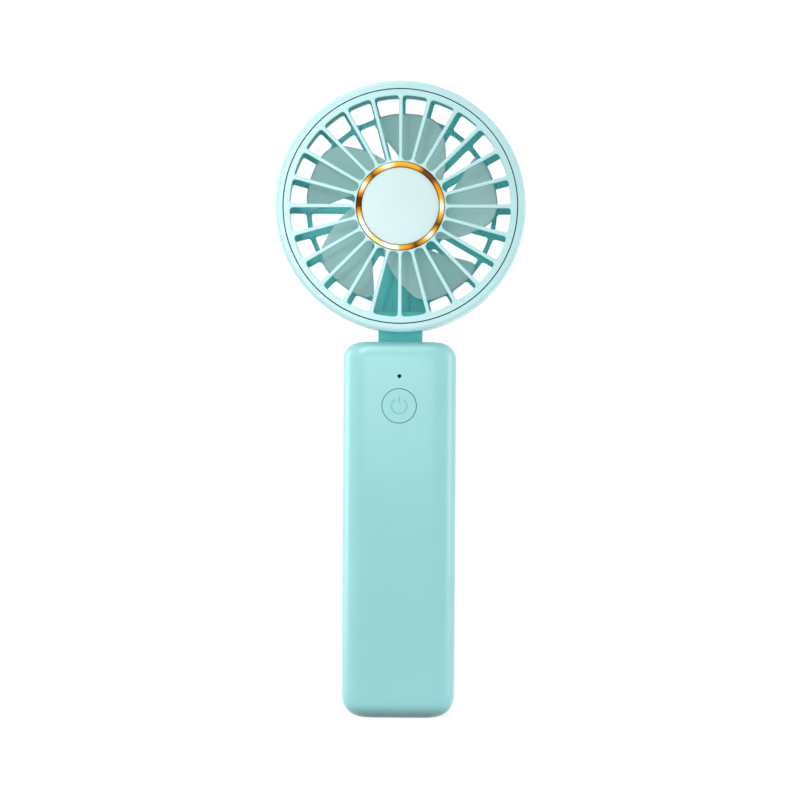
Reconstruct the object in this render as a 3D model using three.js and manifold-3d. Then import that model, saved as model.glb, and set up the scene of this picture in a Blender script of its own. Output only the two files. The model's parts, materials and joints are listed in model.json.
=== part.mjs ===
// Handheld electric fan: a round guarded head on a straight grip that holds the cell and the switch.
// Millimetres, +Z up, front towards -Y, origin in the middle of the flat base.
import * as THREE from 'three';
import { mergeVertices } from 'three/addons/utils/BufferGeometryUtils.js';
import Module from 'manifold-3d';

const wasm = await Module();
wasm.setup();

// ---- driving dimensions -------------------------------------------------------------------------
const fit = 0.1;                 // gap between fixed pieces that seat on each other
const turningFit = 0.05;         // radial gap between the shaft and what it turns in or holds
const bodyGap = 0.3;             // visible seam between moulded parts

const gripWidth = 38.5;
const gripDepth = 27;
const gripHeight = 128;
const gripWall = 1.8;
const gripCorner = 8.5;          // corner radius of the grip's cross-section
const gripSplit = 3;             // the side seam lies this far behind the middle
const baseRoundX = 8.3;          // rounding at the base: sideways, front to back, upwards
const baseRoundY = 6;
const baseRoundZ = 8.2;
const topRoundX = 7.7;
const topRoundY = 5.4;
const topRoundZ = 6.1;
const roundPower = 2.3;          // a little squarer than a circle
const cornerShare = 0.85;        // how far a section's corners shrink as its ends draw in

const headRadius = 42.5;
const headDepth = 29;
const headGap = 3.4;             // clear height between grip and head
const headWall = 3.3;
const rimRound = 2.1;            // rounding of the head's front and rear edges
const seatLip = 0.2;             // how far the grille's seat stands in from its skirt
const trimProud = 0.3;           // how far the gold ring stands out of the grille

const frontRim = 2.9;            // head's outside to the front grille's edge
const grillePlate = 2.4;
const grilleSkirt = 1.3;         // wall of the grille's skirt
const grilleDepth = 5;           // front face to the end of the skirt
const grilleBorder = 2;          // grille's edge to its slots
const spokeCount = 24;
const spokeOuterWidth = 1.35;
const spokeInnerWidth = 1.15;
const slotCornerRadius = 0.8;
const slotEndFullness = 0.92;    // the slot's inner end against a full half circle
const grilleBossDepth = 1;       // middle of the grille behind its plate

const trimOuter = 14.97;
const trimWidth = 1.67;
const trimDepth = 1.5;
const trimBevel = 0.35;
const trimBorder = 0.73;         // gold ring to the inner ends of the slots
const capThickness = 1.2;
const capCrown = 0.15;
const capBevel = 0.3;

const rearRim = 2.1;             // head's outside to the rear grille's edge
const rearPlate = 3;
const rearBorder = 1.4;          // rear grille's edge to its windows
const midRingInset = 7.2;        // rear grille's edge to its middle ring
const midRingWidth = 1.8;
const rearHubBorder = 2.6;       // how far the rear grille's hub reaches past the impeller's
const ribWidth = 2.2;
const windowCorner = 1;
const rearCapRadius = 6.4;
const rearCapThickness = 1;

const bladeCount = 5;
const bladeBorder = 3.9;         // blade tips inside the slots' outer ends
const bladeFirst = 0;            // angle of the first blade, degrees
const bladeThickness = 1.1;
const bladeTaper = 0.4;          // how much of its thickness a blade loses from root to tip
const bladeCrown = 0.45;         // how far a blade bows forwards between its long edges
const bladeTipRound = 2.6;       // how far the tip's corners fall back
const bladeTipPower = 7;
const bladeDepth = 6.4;          // front to back, from one long edge to the other
const bladeRearGap = 1;          // blade to rear grille
const lowEdge = { angle: -33.8, radius: 18.7, slope: 2.35, bend: -0.031 };
const highEdge = { angle: 22.3, radius: 18.9, slope: 1.916, bend: -0.0588 };
const hubRadius = 14.6;
const hubWall = 1.5;
const hubTopWall = 1.8;
const hubEdge = 1.5;             // rounding of the hub's front edge
const hubLength = 12.4;
const hubRearGap = 1.1;          // hub to rear grille
const hubBossRadius = 2.6;
const hubBossDepth = 0.8;

const shaftRadius = 1;
const shaftLength = 13.6;
const shaftCover = 1;            // hub material in front of the shaft's end
const clipRadius = 2.2;
const clipThickness = 0.5;
const bearingRadius = 3;
const bearingLength = 2.5;
const bearingStop = 0.5;         // step between the bearings, inwards of their outside
const sleeveWall = 1;
const sleeveLength = 10.4;
const airGap = 0.6;              // stator to magnet
const statorLength = 4.2;
const statorRise = 3.6;          // stator in front of the rear grille
const statorRim = 1.2;
const statorCore = 5.6;          // outside radius of the stator's middle
const poleWidth = 3;
const shoeWidth = 12.6;
const magnetThickness = 1.3;
const magnetOverhang = 0.8;
const yokeThickness = 0.6;
const yokeBore = 5.5;
const coilCount = 4;
const coilWidth = 6;
const coilWall = 1.3;            // copper before and behind the pole
const coilSpace = 0.5;           // clear length at each end of a coil
const motorBoardInset = 1.7;     // motor board inside the hub's bore
const boardThickness = 1;

const neckWidth = 15;
const neckBoardGap = 2.5;        // neck to the control board in front of it
const neckFootLip = 1.8;         // how far the foot in the head stands out at each side
const neckInside = 3.6;          // how far the foot reaches into the head's bore
const neckInGrip = 8;            // how far the neck reaches into the grip
const neckFlangeLip = 3;         // how far the flange in the grip stands out at each side
const neckFlangeThickness = 3;
const neckRearWall = 1.6;        // neck material behind the duct
const ledgeWidth = 4;
const ledgeHeight = 2;
const ductWidth = 4.6;
const ductDepth = 4;
const channelHeight = 2.4;       // the duct's way out to the rear grille's groove
const channelFloor = 0.7;

const grooveWidth = 3.4;         // groove in the rear grille for the motor leads
const grooveDepth = 2;
const coverWidth = 6;
const coverThickness = 0.5;
const coverInner = 16.6;         // the cover's nearest end to the head's middle
const coverEnd = 4.6;            // its other end to the head's inner wall

const buttonDrop = 21.8;         // button's middle below the grip's top
const buttonRadius = 5.85;
const buttonTravel = 0.3;
const buttonFlange = 0.8;
const buttonFlangeLip = 0.9;
const buttonStem = 1.5;
const ledRise = 10.1;            // status light above the button's middle
const ledWidth = 1.6;
const ledSize = 0.8;
const pipeRadius = 0.6;
const pipeFlangeRadius = 1.3;
const pipeFlange = 1;

const boardLength = 34;
const boardDrop = 39.5;          // control board's lower edge below the grip's top
const buttonStack = 5.7;         // front wall's inner face to the control board
const boardPostRadius = 1.4;
const boardPostInset = 1.6;
const switchSize = 6;
const switchDepth = 3.25;
const plungerRadius = 1.7;
const plungerLength = 1.6;
const plungerShown = 0.4;        // share of the plunger that stands out of the switch
// parts on the control board: width and sideways place as shares of the board's width
const chip = { width: 0.25, depth: 1.5, height: 6, rise: 15.5, side: -0.15 };
const inductor = { width: 0.3, depth: 3, height: 6, rise: 15.5, side: 0.25 };
const motorPlug = { width: 0.3, depth: 4.2, height: 4, rise: 24, side: 0 };
const batteryPlug = { width: 0.4, depth: 4.2, height: 4, rise: 5.5, side: 0 };

const cellBottom = 20;
const cellTopGap = 3.3;          // cell to control board
const cellSpare = 2.5;           // room round the cell for its foam and cradle
const cellBevel = 0.6;
const cradleWall = 1.1;
const cradleFront = 2.4;         // the cradle starts this far behind the cell's axis
const tabWidth = 7;
const tabInset = 2.7;            // tab's front and rear ends inside the cell's
const tabThickness = 0.3;
const tabForward = 1.5;          // welded tabs ahead of the cell's axis
const foamInset = 2.2;           // foam's sides inside the cell's
const foamLength = 40;

const socketWidth = 8.94;
const socketHeight = 3.26;
const socketDepth = 7.3;
const socketWall = 0.35;
const socketRecess = 0.3;        // mouth of the socket inside the grip's rear face
const socketFloor = 1;
const socketMouthGap = 0.25;
const tongueWidth = 6.7;
const tongueThickness = 0.7;
const tongueShort = 1.1;         // tongue's end inside the mouth
const chargeBoardBottom = 8.6;
const chargeBoardWidth = 20;
const chargeBoardDepth = 14;
const chargeBoardGap = 0.7;      // charge board to the rear wall

const screwHeadRadius = 1.9;
const screwShankRadius = 0.95;
const screwHeadDepth = 1.5;
const screwHeadTop = 0.7;        // flat top of the head against its full width
const screwSlot = { width: 2.2, height: 0.55, depth: 0.9 };
const shellScrewLength = 12;
const neckScrewLength = 8;
const counterboreDepth = 5;
const bossRadius = 2.4;
const bossInset = 4.45;          // side wall's inner face to a screw boss's middle
const bossFloor = 2;             // plastic in front of a boss's bore
const bossLow = 25;
const bossDrop = 29;             // upper bosses below the grip's top
const neckScrewX = 5;
const neckScrewDrop = 0.2;
const leadRadius = 0.5;
const leadStep = 2.8;            // length of one straight run of a bent lead

// ---- places that follow from them ---------------------------------------------------------------
const halfWidth = gripWidth / 2;
const halfDepth = gripDepth / 2;
const innerFront = halfDepth - gripWall;
const innerSide = halfWidth - gripWall;
const headCentre = gripHeight + headGap + headRadius;
const headHalf = headDepth / 2;
const faceFront = headHalf - trimProud;          // grille face ahead of the head's middle
const rearFront = rearPlate - headHalf;          // rear grille's inner face, measured frontwards
const grilleRadius = headRadius - frontRim;
const rearRadius = headRadius - rearRim;
const slotOuter = grilleRadius - grilleBorder;
const slotInner = trimOuter + trimBorder;
const trimInner = trimOuter - trimWidth;
const rearWindowOuter = rearRadius - rearBorder;
const midRingOuter = rearRadius - midRingInset;
const midRingInner = midRingOuter - midRingWidth;
const rearHub = hubRadius + rearHubBorder;
const bladeTip = slotOuter - bladeBorder;
const ringBore = grilleRadius + bodyGap;
const wallInner = headRadius - headWall;
const seatInner = grilleRadius - grilleSkirt + seatLip;
const hubBore = hubRadius - hubWall;
const hubOpen = rearFront + hubRearGap;
const hubTop = hubOpen + hubLength;
const shaftFront = hubTop - shaftCover;
const shaftBore = shaftRadius + turningFit;
const bearingFrontBack = rearFront + sleeveLength - bearingLength - fit;
const sleeveRadius = bearingRadius + sleeveWall;
const magnetOuter = hubBore - 2 * fit - yokeThickness;
const statorRadius = magnetOuter - magnetThickness - airGap;
const statorLow = rearFront + statorRise;
const motorBoardRadius = hubBore - motorBoardInset;
const coverLength = wallInner - coverEnd - coverInner;
const coverMiddle = coverInner + coverLength / 2;
const neckScrewRadius = wallInner - neckInside / 2 - neckScrewDrop;
const neckScrewPlaces = [-neckScrewX, neckScrewX];
const flangeBottom = gripHeight - gripWall - fit - neckFlangeThickness;
const bossBore = screwShankRadius + fit;
const counterbore = screwHeadRadius + 2 * fit;
const bossX = innerSide - bossInset;
const bossHigh = gripHeight - bossDrop;
const buttonHeight = gripHeight - buttonDrop;
const ledHeight = buttonHeight + ledRise;
const boardBottom = gripHeight - boardDrop;
const boardWidth = 2 * (bossX - bossRadius - 6 * fit);
const boardFront = innerFront - buttonStack;     // board's front face ahead of the grip's middle
const neckRear = halfDepth - topRoundY - fit;    // inside the shell where its top draws in
const neckDepth = neckRear + boardFront - boardThickness - neckBoardGap;
const neckMiddle = neckRear - neckDepth / 2;
const shellTopHalf = innerSide + gripWall - topRoundX - 2 * bodyGap;
const neckFlangeHalf = Math.min(neckWidth / 2 + neckFlangeLip, shellTopHalf);
const ductMiddle = neckRear - neckRearWall - ductDepth / 2;
const switchFront = -boardFront - fit - switchDepth;
const plungerFront = switchFront - plungerLength * plungerShown;
const cellRadius = Math.min(innerFront - cellSpare, bossX - bossRadius - cradleWall - 3 * fit);
const cellBack = innerFront - 2 * fit - cradleWall - cellRadius;
const cellTop = boardBottom - cellTopGap;
const cellLength = cellTop - cellBottom;
const socketMiddle = chargeBoardBottom + boardThickness + fit / 2 + socketHeight / 2;
const degree = Math.PI / 180;
const pitch = 2 * Math.PI / spokeCount;
const roundSegments = 60;
const weld = 1e-4;               // points closer than this are one point
const through = 1;               // how far a cutting tool passes the face it opens
const overlap = 0.2;             // how far joined shapes of one solid reach into each other

// ---- helpers ------------------------------------------------------------------------------------
function look(color, roughness, metalness = 0) {
  return new THREE.MeshStandardMaterial({ color, roughness, metalness });
}

function signedVolume(position, index) {
  let total = 0;
  const a = new THREE.Vector3();
  const b = new THREE.Vector3();
  const c = new THREE.Vector3();
  for (let i = 0; i < index.length; i += 3) {
    a.fromBufferAttribute(position, index[i]);
    b.fromBufferAttribute(position, index[i + 1]);
    c.fromBufferAttribute(position, index[i + 2]);
    total += a.dot(b.cross(c));
  }
  return total;
}

// A closed three.js geometry as a solid: shared vertices merged, slivers dropped, faces outwards.
function solid(geometry) {
  const bare = geometry.clone();
  bare.deleteAttribute('normal');
  bare.deleteAttribute('uv');
  const merged = mergeVertices(bare, weld);
  const faces = [];
  for (let i = 0; i < merged.index.count; i += 3) {
    const [a, b, c] = [0, 1, 2].map((k) => merged.index.getX(i + k));
    if (a !== b && b !== c && a !== c) faces.push(a, b, c);
  }
  if (signedVolume(merged.attributes.position, faces) < 0) faces.reverse();
  return new wasm.Manifold(new wasm.Mesh({
    numProp: 3,
    vertProperties: Float32Array.from(merged.attributes.position.array),
    triVerts: Uint32Array.from(faces),
  }));
}

function union(...solids) {
  return solids.reduce((whole, next) => whole.add(next));
}

function cut(body, ...tools) {
  return tools.reduce((rest, tool) => rest.subtract(tool), body);
}

function piece(name, body, material) {
  const mesh = body.getMesh();
  const geometry = new THREE.BufferGeometry();
  geometry.setAttribute('position', new THREE.BufferAttribute(mesh.vertProperties, 3));
  geometry.setIndex(new THREE.BufferAttribute(mesh.triVerts, 1));
  geometry.computeVertexNormals();
  const result = new THREE.Mesh(geometry, material);
  result.name = name;
  return result;
}

// A turned solid about Z from [radius, height] points that close on themselves or on the axis.
function turned(points, segments = roundSegments) {
  const profile = points.map(([r, z]) => new THREE.Vector2(r, z));
  return solid(new THREE.LatheGeometry(profile, segments).rotateX(Math.PI / 2));
}

function disc(radius, low, high, segments = roundSegments) {
  return turned([[0, low], [radius, low], [radius, high], [0, high]], segments);
}

function tube(outer, inner, low, high, segments = roundSegments) {
  return turned([[inner, low], [outer, low], [outer, high], [inner, high], [inner, low]], segments);
}

function block(width, depth, height, x = 0, y = 0, z = 0) {
  return solid(new THREE.BoxGeometry(width, depth, height).translate(x, y, z));
}

function prism(shape, low, high) {
  const options = { depth: high - low, bevelEnabled: false };
  return solid(new THREE.ExtrudeGeometry(shape, options).translate(0, 0, low));
}

// A round bar lying along Y from one depth to another.
function barY(radius, from, to, x, z, segments = 16) {
  const length = Math.abs(to - from);
  const bar = new THREE.CylinderGeometry(radius, radius, length, segments);
  return solid(bar.translate(x, (from + to) / 2, z));
}

// Points of a quarter circle from one angle to another, in degrees.
function arc(cx, cy, radius, from, to, steps = 4) {
  const points = [];
  for (let i = 0; i <= steps; i += 1) {
    const angle = (from + (to - from) * i / steps) * degree;
    points.push([cx + radius * Math.cos(angle), cy + radius * Math.sin(angle)]);
  }
  return points;
}

function polar(radius, angle) {
  return new THREE.Vector2(radius * Math.cos(angle), radius * Math.sin(angle));
}

function lead(points, sides = 6) {
  const route = new THREE.CatmullRomCurve3(points.map((p) => new THREE.Vector3(...p)));
  const section = new THREE.Shape();
  for (let i = 0; i < sides; i += 1) {
    const corner = polar(leadRadius, (i + 0.5) * 2 * Math.PI / sides);
    if (i === 0) section.moveTo(corner.x, corner.y);
    else section.lineTo(corner.x, corner.y);
  }
  const steps = Math.max(sides, Math.round(route.getLength() / leadStep));
  return solid(new THREE.ExtrudeGeometry(section, { extrudePath: route, steps, bevelEnabled: false }));
}

// ---- finishes -----------------------------------------------------------------------------------
const paleShell = look(0xcdeeee, 0.45);
const gripColour = look(0x9ad6d6, 0.42);
const deepShell = look(0x4aa9a6, 0.5);
const bladeShell = look(0x8fb9b5, 0.4);
const gold = look(0xe09a2e, 0.2, 1);
const smoke = look(0x101414, 0.2);
const steel = look(0xb9bcc0, 0.3, 1);
const iron = look(0x55585c, 0.5, 1);
const copper = look(0xb86a35, 0.4, 1);
const board = look(0x1d6b45, 0.5);
const blackPlastic = look(0x1b1c1e, 0.6);
const whitePlastic = look(0xe8e6df, 0.55);
const sleeveWrap = look(0x2f6f9f, 0.35);
const foam = look(0x3a3d40, 0.95);
const redLead = look(0xb5241f, 0.5);
const blackLead = look(0x1a1a1a, 0.5);

// ---- the head: turned about Z here, then laid over so that Z points to the front ------------------
function headRing() {
  const seat = faceFront - grilleDepth - fit;
  const rearSeat = rearFront + fit;
  const edge = headRadius - rimRound;
  const body = turned([
    [ringBore, faceFront],
    ...arc(edge, faceFront - rimRound, rimRound, 90, 0, 3),
    ...arc(edge, rimRound - headHalf, rimRound, 0, -90, 3),
    [rearRadius + bodyGap, -headHalf],
    [rearRadius + bodyGap, rearSeat],
    [wallInner, rearSeat],
    [wallInner, seat - grilleSkirt],
    [seatInner, seat - grilleSkirt],
    [seatInner, seat],
    [ringBore, seat],
    [ringBore, faceFront],
  ]);
  const wide = neckWidth + 2 * fit;
  const deep = neckDepth + 2 * fit;
  const reach = 2 * (headRadius - wallInner * Math.cos(Math.asin(wide / 2 / wallInner)) + through);
  return cut(body, block(wide, reach, deep, 0, -headRadius, -neckMiddle));
}

function circlePoints(radius, segments = roundSegments) {
  const points = [];
  for (let i = 0; i < segments; i += 1) points.push(polar(radius, i * 2 * Math.PI / segments));
  return points;
}

function turnedTo(points, angle) {
  const axis = new THREE.Vector2();
  return points.map(([x, y]) => new THREE.Vector2(x, y).rotateAround(axis, angle));
}

// Half the angle between two spokes or ribs at a radius.
function halfOpening(radius, width) {
  return pitch / 2 - Math.asin(width / 2 / radius);
}

// One slot of the front grille: round corners at the rim, a half-round end at the middle.
function slotShape(index) {
  const outerHalf = halfOpening(slotOuter, spokeOuterWidth);
  const innerHalf = halfOpening(slotInner, spokeInnerWidth);
  const cornerRadius = slotOuter - slotCornerRadius;
  const cornerTurn = outerHalf - Math.asin(slotCornerRadius / cornerRadius);
  const outline = [];
  for (const side of [-1, 1]) {
    const centre = polar(cornerRadius, side * cornerTurn);
    const start = side * cornerTurn / degree + (side < 0 ? -90 : 0);
    outline.push(...arc(centre.x, centre.y, slotCornerRadius, start, start + 90, 2));
  }
  const endRadius = slotInner * Math.sin(innerHalf) * slotEndFullness;
  outline.push(...arc(slotInner + endRadius, 0, endRadius, 90, 270, 4));
  return turnedTo(outline, (index + 0.5) * pitch);
}

function frontGrille() {
  const plateBack = faceFront - grillePlate;
  const plate = new THREE.Shape(circlePoints(grilleRadius));
  for (let i = 0; i < spokeCount; i += 1) plate.holes.push(new THREE.Path(slotShape(i)));
  const inner = grilleRadius - grilleSkirt;
  const skirt = tube(grilleRadius, inner, faceFront - grilleDepth, plateBack + grillePlate / 2);
  const bossWide = trimOuter + grilleSkirt / 4;
  const boss = disc(bossWide, plateBack - grilleBossDepth, plateBack + grillePlate / 2, 48);
  const pocket = disc(trimOuter + fit, faceFront - trimDepth - fit, faceFront + through, 48);
  return cut(union(prism(plate, plateBack, faceFront), skirt, boss), pocket);
}

function trimRing() {
  const low = faceFront - trimDepth;
  const crest = faceFront + trimProud;
  return turned([
    [trimInner, low],
    [trimOuter, low],
    [trimOuter, faceFront],
    [trimOuter - trimBevel, crest],
    [trimInner + trimBevel, crest],
    [trimInner, faceFront],
    [trimInner, low],
  ], 48);
}

function centreCap() {
  const low = faceFront - trimDepth;
  const edge = low + capThickness;
  const radius = trimInner - 1.5 * fit;
  return turned([
    [0, low],
    [radius, low],
    [radius, edge],
    [radius - capBevel, edge + capCrown],
    [0, edge + capCrown],
  ], 48);
}

// One window between two ribs of the rear grille, between two radii, with rounded corners.
function windowShape(index, inner, outer) {
  const outline = [];
  for (const [radius, inwards, sides] of [[inner, 1, [1, -1]], [outer, -1, [-1, 1]]]) {
    const centreRadius = radius + inwards * windowCorner;
    const reach = halfOpening(centreRadius, ribWidth) - Math.asin(windowCorner / centreRadius);
    for (const side of sides) {
      const centre = polar(centreRadius, side * reach);
      const quarter = inwards > 0 ? (side > 0 ? 90 : 180) : (side < 0 ? -90 : 0);
      const start = side * reach / degree + quarter;
      outline.push(...arc(centre.x, centre.y, windowCorner, start, start + 90, 1));
    }
  }
  return turnedTo(outline, (index + 0.5) * pitch);
}

// The flat part of the rear grille, left whole below the hub where the neck joins it.
function rearPlateBody() {
  const plate = new THREE.Shape(circlePoints(rearRadius));
  for (let i = 0; i < spokeCount; i += 1) {
    const fromBottom = Math.abs((i + 0.5) * pitch - 1.5 * Math.PI);
    if (fromBottom < pitch) continue;
    plate.holes.push(new THREE.Path(windowShape(i, rearHub, midRingInner)));
    plate.holes.push(new THREE.Path(windowShape(i, midRingOuter, rearWindowOuter)));
  }
  return prism(plate, -headHalf, rearFront);
}

// The lead groove and the shallow seat for its cover, in the whole part of the rear grille.
function leadGroove() {
  const inner = motorBoardRadius - grooveDepth - fit * 10;
  const length = wallInner - inner;
  const groove = block(
    grooveWidth,
    length,
    grooveDepth + through,
    0,
    -(inner + length / 2),
    rearFront - grooveDepth / 2 + through / 2,
  );
  const seatDepth = coverThickness + 2 * fit;
  const seat = block(
    coverWidth + 2 * fit,
    coverLength + 2 * fit,
    seatDepth + through,
    0,
    -coverMiddle,
    rearFront - seatDepth / 2 + through / 2,
  );
  return groove.add(seat);
}

function neckScrewHole(x) {
  const shank = disc(bossBore, -headHalf - through, rearFront + through, 12);
  const head = disc(screwHeadRadius + fit, -headHalf - through, screwHeadDepth - headHalf, 16);
  return shank.add(head).translate([x, -neckScrewRadius, 0]);
}

function rearGrille() {
  const sleeveFront = rearFront + sleeveLength;
  const sleeve = disc(sleeveRadius, rearFront - overlap, sleeveFront, 32);
  const bore = disc(bearingRadius + turningFit, -headHalf - through, sleeveFront + through, 32);
  const stopInner = bearingRadius - bearingStop;
  const stopBack = rearFront + bearingLength + fit;
  const stop = tube(bearingRadius + bearingStop, stopInner, stopBack, bearingFrontBack - fit, 32);
  const recess = disc(rearCapRadius + fit, -headHalf - through, rearCapThickness + fit - headHalf, 40);
  const body = cut(rearPlateBody().add(sleeve), bore);
  return cut(body.add(stop), recess, leadGroove(), ...neckScrewPlaces.map(neckScrewHole));
}

function leadCover() {
  return block(coverWidth, coverLength, coverThickness, 0, -coverMiddle, rearFront - coverThickness / 2);
}

function rearHubCap() {
  return disc(rearCapRadius, -headHalf, rearCapThickness - headHalf, 40);
}

// Angle in degrees of one of a blade's long edges at a radius, seen from the front.
function edgeAngle(edge, radius) {
  const out = radius - edge.radius;
  return edge.angle + edge.slope * out + edge.bend * out * out;
}

// A point of a blade: along 0..1 from root to tip, across 0..1 between its long edges.
function bladePoint(along, across, side) {
  const root = hubBore + hubWall / 2;
  const centred = 2 * across - 1;
  const tip = bladeTip - bladeTipRound * Math.abs(centred) ** bladeTipPower;
  const radius = root + (tip - root) * along;
  const low = edgeAngle(lowEdge, radius);
  const angle = low + (edgeAngle(highEdge, radius) - low) * across;
  const middle = rearFront + bladeRearGap + (bladeDepth + bladeThickness) / 2;
  const wall = bladeThickness * (1 + bladeTaper / 2 - bladeTaper * along);
  const bow = bladeCrown * (1 - centred ** 2);
  const point = polar(radius, angle * degree);
  return [point.x, point.y, middle + bladeDepth * (0.5 - across) + bow + side * wall];
}

function bladeSolid(across = 6, along = 6) {
  const positions = [];
  for (const side of [-0.5, 0.5]) {
    for (let i = 0; i <= along; i += 1) {
      for (let j = 0; j <= across; j += 1) positions.push(...bladePoint(i / along, j / across, side));
    }
  }
  const faces = [];
  const row = across + 1;
  const layer = row * (along + 1);
  const quad = (a, b, c, d) => faces.push(a, b, c, a, c, d);
  for (let i = 0; i < along; i += 1) {
    for (let j = 0; j < across; j += 1) {
      const a = i * row + j;
      quad(a, a + row, a + row + 1, a + 1);
      quad(a + layer, a + layer + 1, a + layer + row + 1, a + layer + row);
    }
    const left = i * row;
    const right = left + across;
    quad(left, left + layer, left + row + layer, left + row);
    quad(right, right + row, right + row + layer, right + layer);
  }
  for (let j = 0; j < across; j += 1) {
    const end = along * row + j;
    quad(j, j + 1, j + 1 + layer, j + layer);
    quad(end, end + layer, end + 1 + layer, end + 1);
  }
  const geometry = new THREE.BufferGeometry();
  geometry.setAttribute('position', new THREE.Float32BufferAttribute(positions, 3));
  geometry.setIndex(faces);
  return solid(geometry);
}

function impeller() {
  const ceiling = hubTop - hubTopWall;
  const bossBack = ceiling - hubBossDepth;
  let body = turned([
    [0, hubTop],
    ...arc(hubRadius - hubEdge, hubTop - hubEdge, hubEdge, 90, 0, 3),
    [hubRadius, hubOpen],
    [hubBore, hubOpen],
    [hubBore, ceiling],
    [hubBossRadius, ceiling],
    [hubBossRadius, bossBack],
    [0, bossBack],
  ], 40);
  for (let i = 0; i < bladeCount; i += 1) {
    body = body.add(bladeSolid().rotate([0, 0, bladeFirst + i * 360 / bladeCount]));
  }
  const boss = disc(hubBossRadius, bossBack, ceiling + overlap, 20);
  const room = disc(hubBore, hubOpen - through, ceiling, 40);
  const bore = disc(shaftBore, bossBack - through, shaftFront + fit, 16);
  return cut(cut(body, room).add(boss), bore);
}

function rotorShaft() {
  return disc(shaftRadius, shaftFront - shaftLength, shaftFront, 16);
}

function shaftClip() {
  const low = shaftFront - shaftLength + bodyGap;
  return tube(clipRadius, shaftBore, low, low + clipThickness, 20);
}

function rotorMagnet() {
  const low = statorLow - magnetOverhang;
  const high = statorLow + statorLength + magnetOverhang;
  return tube(magnetOuter, magnetOuter - magnetThickness, low, high, 40);
}

function rotorYoke() {
  const outer = hubBore - fit;
  const inner = outer - yokeThickness;
  const low = statorLow - 1.5 * magnetOverhang;
  const top = hubTop - hubTopWall - fit;
  return turned([
    [inner, low],
    [outer, low],
    [outer, top],
    [yokeBore, top],
    [yokeBore, top - yokeThickness],
    [inner, top - yokeThickness],
    [inner, low],
  ], 40);
}

function bearing() {
  return tube(bearingRadius, shaftBore, 0, bearingLength, 16);
}

function statorIron() {
  const high = statorLow + statorLength;
  const middle = (statorLow + high) / 2;
  const bore = sleeveRadius + turningFit;
  const rim = tube(statorRadius, statorRadius - statorRim, statorLow, high, 32);
  const armStart = (statorCore + bore) / 2;
  const armEnd = statorRadius - statorRim / 2;
  const arm = block(armEnd - armStart, poleWidth, statorLength, (armStart + armEnd) / 2, 0, middle);
  const reach = block(statorRadius, shoeWidth, 2 * statorLength, statorRadius, 0, middle);
  let body = tube(statorCore, bore, statorLow, high, 24);
  for (let i = 0; i < coilCount; i += 1) {
    const turn = [0, 0, i * 360 / coilCount];
    body = union(body, arm.rotate(turn), rim.intersect(reach.rotate(turn)));
  }
  return body;
}

function statorCoil() {
  const middle = statorLow + statorLength / 2;
  const length = statorRadius - statorRim - statorCore - 2 * coilSpace;
  const place = statorCore + coilSpace + length / 2 - 2 * fit;
  const outer = block(length, coilWidth, statorLength + 2 * coilWall, place, 0, middle);
  const inner = block(length + through, poleWidth + 2 * fit, statorLength + 2 * fit, place, 0, middle);
  return cut(outer, inner);
}

function motorBoard() {
  const low = rearFront + boardThickness;
  return tube(motorBoardRadius, sleeveRadius + fit, low, low + boardThickness, 32);
}

// Things in the head are made lying on their back; this stands them up at the head's centre.
function headGroup() {
  const group = new THREE.Group();
  group.rotation.x = Math.PI / 2;
  group.position.z = headCentre;
  group.add(
    piece('head_ring', headRing(), paleShell),
    piece('front_grille', frontGrille(), paleShell),
    piece('trim_ring', trimRing(), gold),
    piece('centre_cap', centreCap(), paleShell),
    piece('rear_grille', rearGrille(), deepShell),
    piece('lead_cover', leadCover(), deepShell),
    piece('rear_hub_cap', rearHubCap(), deepShell),
    piece('impeller', impeller(), bladeShell),
    piece('rotor_shaft', rotorShaft(), steel),
    piece('shaft_clip', shaftClip(), steel),
    piece('rotor_magnet', rotorMagnet(), iron),
    piece('rotor_yoke', rotorYoke(), steel),
    piece('stator_core', statorIron(), iron),
    piece('motor_board', motorBoard(), board),
  );
  const bearingFront = piece('bearing_front', bearing(), steel);
  bearingFront.position.z = bearingFrontBack;
  const bearingRear = piece('bearing_rear', bearing(), steel);
  bearingRear.position.z = rearFront;
  group.add(bearingFront, bearingRear);
  for (let i = 0; i < coilCount; i += 1) {
    const coil = piece(`stator_coil_${i + 1}`, statorCoil(), copper);
    coil.rotation.z = i * 2 * Math.PI / coilCount;
    group.add(coil);
  }
  return group;
}

// ---- the grip -----------------------------------------------------------------------------------
// How far a rounded edge has drawn in at a given distance from the end that it runs into.
function drawnIn(distance, length, depth) {
  if (distance >= length) return 0;
  const rest = 1 - Math.max(distance, 0) / length;
  return depth * (1 - (1 - rest ** roundPower) ** (1 / roundPower));
}

function sectionPoints(width, depth, corner, z, steps) {
  const points = [];
  for (let quarter = 0; quarter < 4; quarter += 1) {
    const sx = quarter === 0 || quarter === 3 ? 1 : -1;
    const sy = quarter < 2 ? 1 : -1;
    for (let i = 0; i <= steps; i += 1) {
      const turn = (quarter + i / steps) * Math.PI / 2;
      const x = Math.abs(Math.cos(turn)) ** (2 / roundPower);
      const y = Math.abs(Math.sin(turn)) ** (2 / roundPower);
      points.push([sx * (width - corner + corner * x), sy * (depth - corner + corner * y), z]);
    }
  }
  return points;
}

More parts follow.
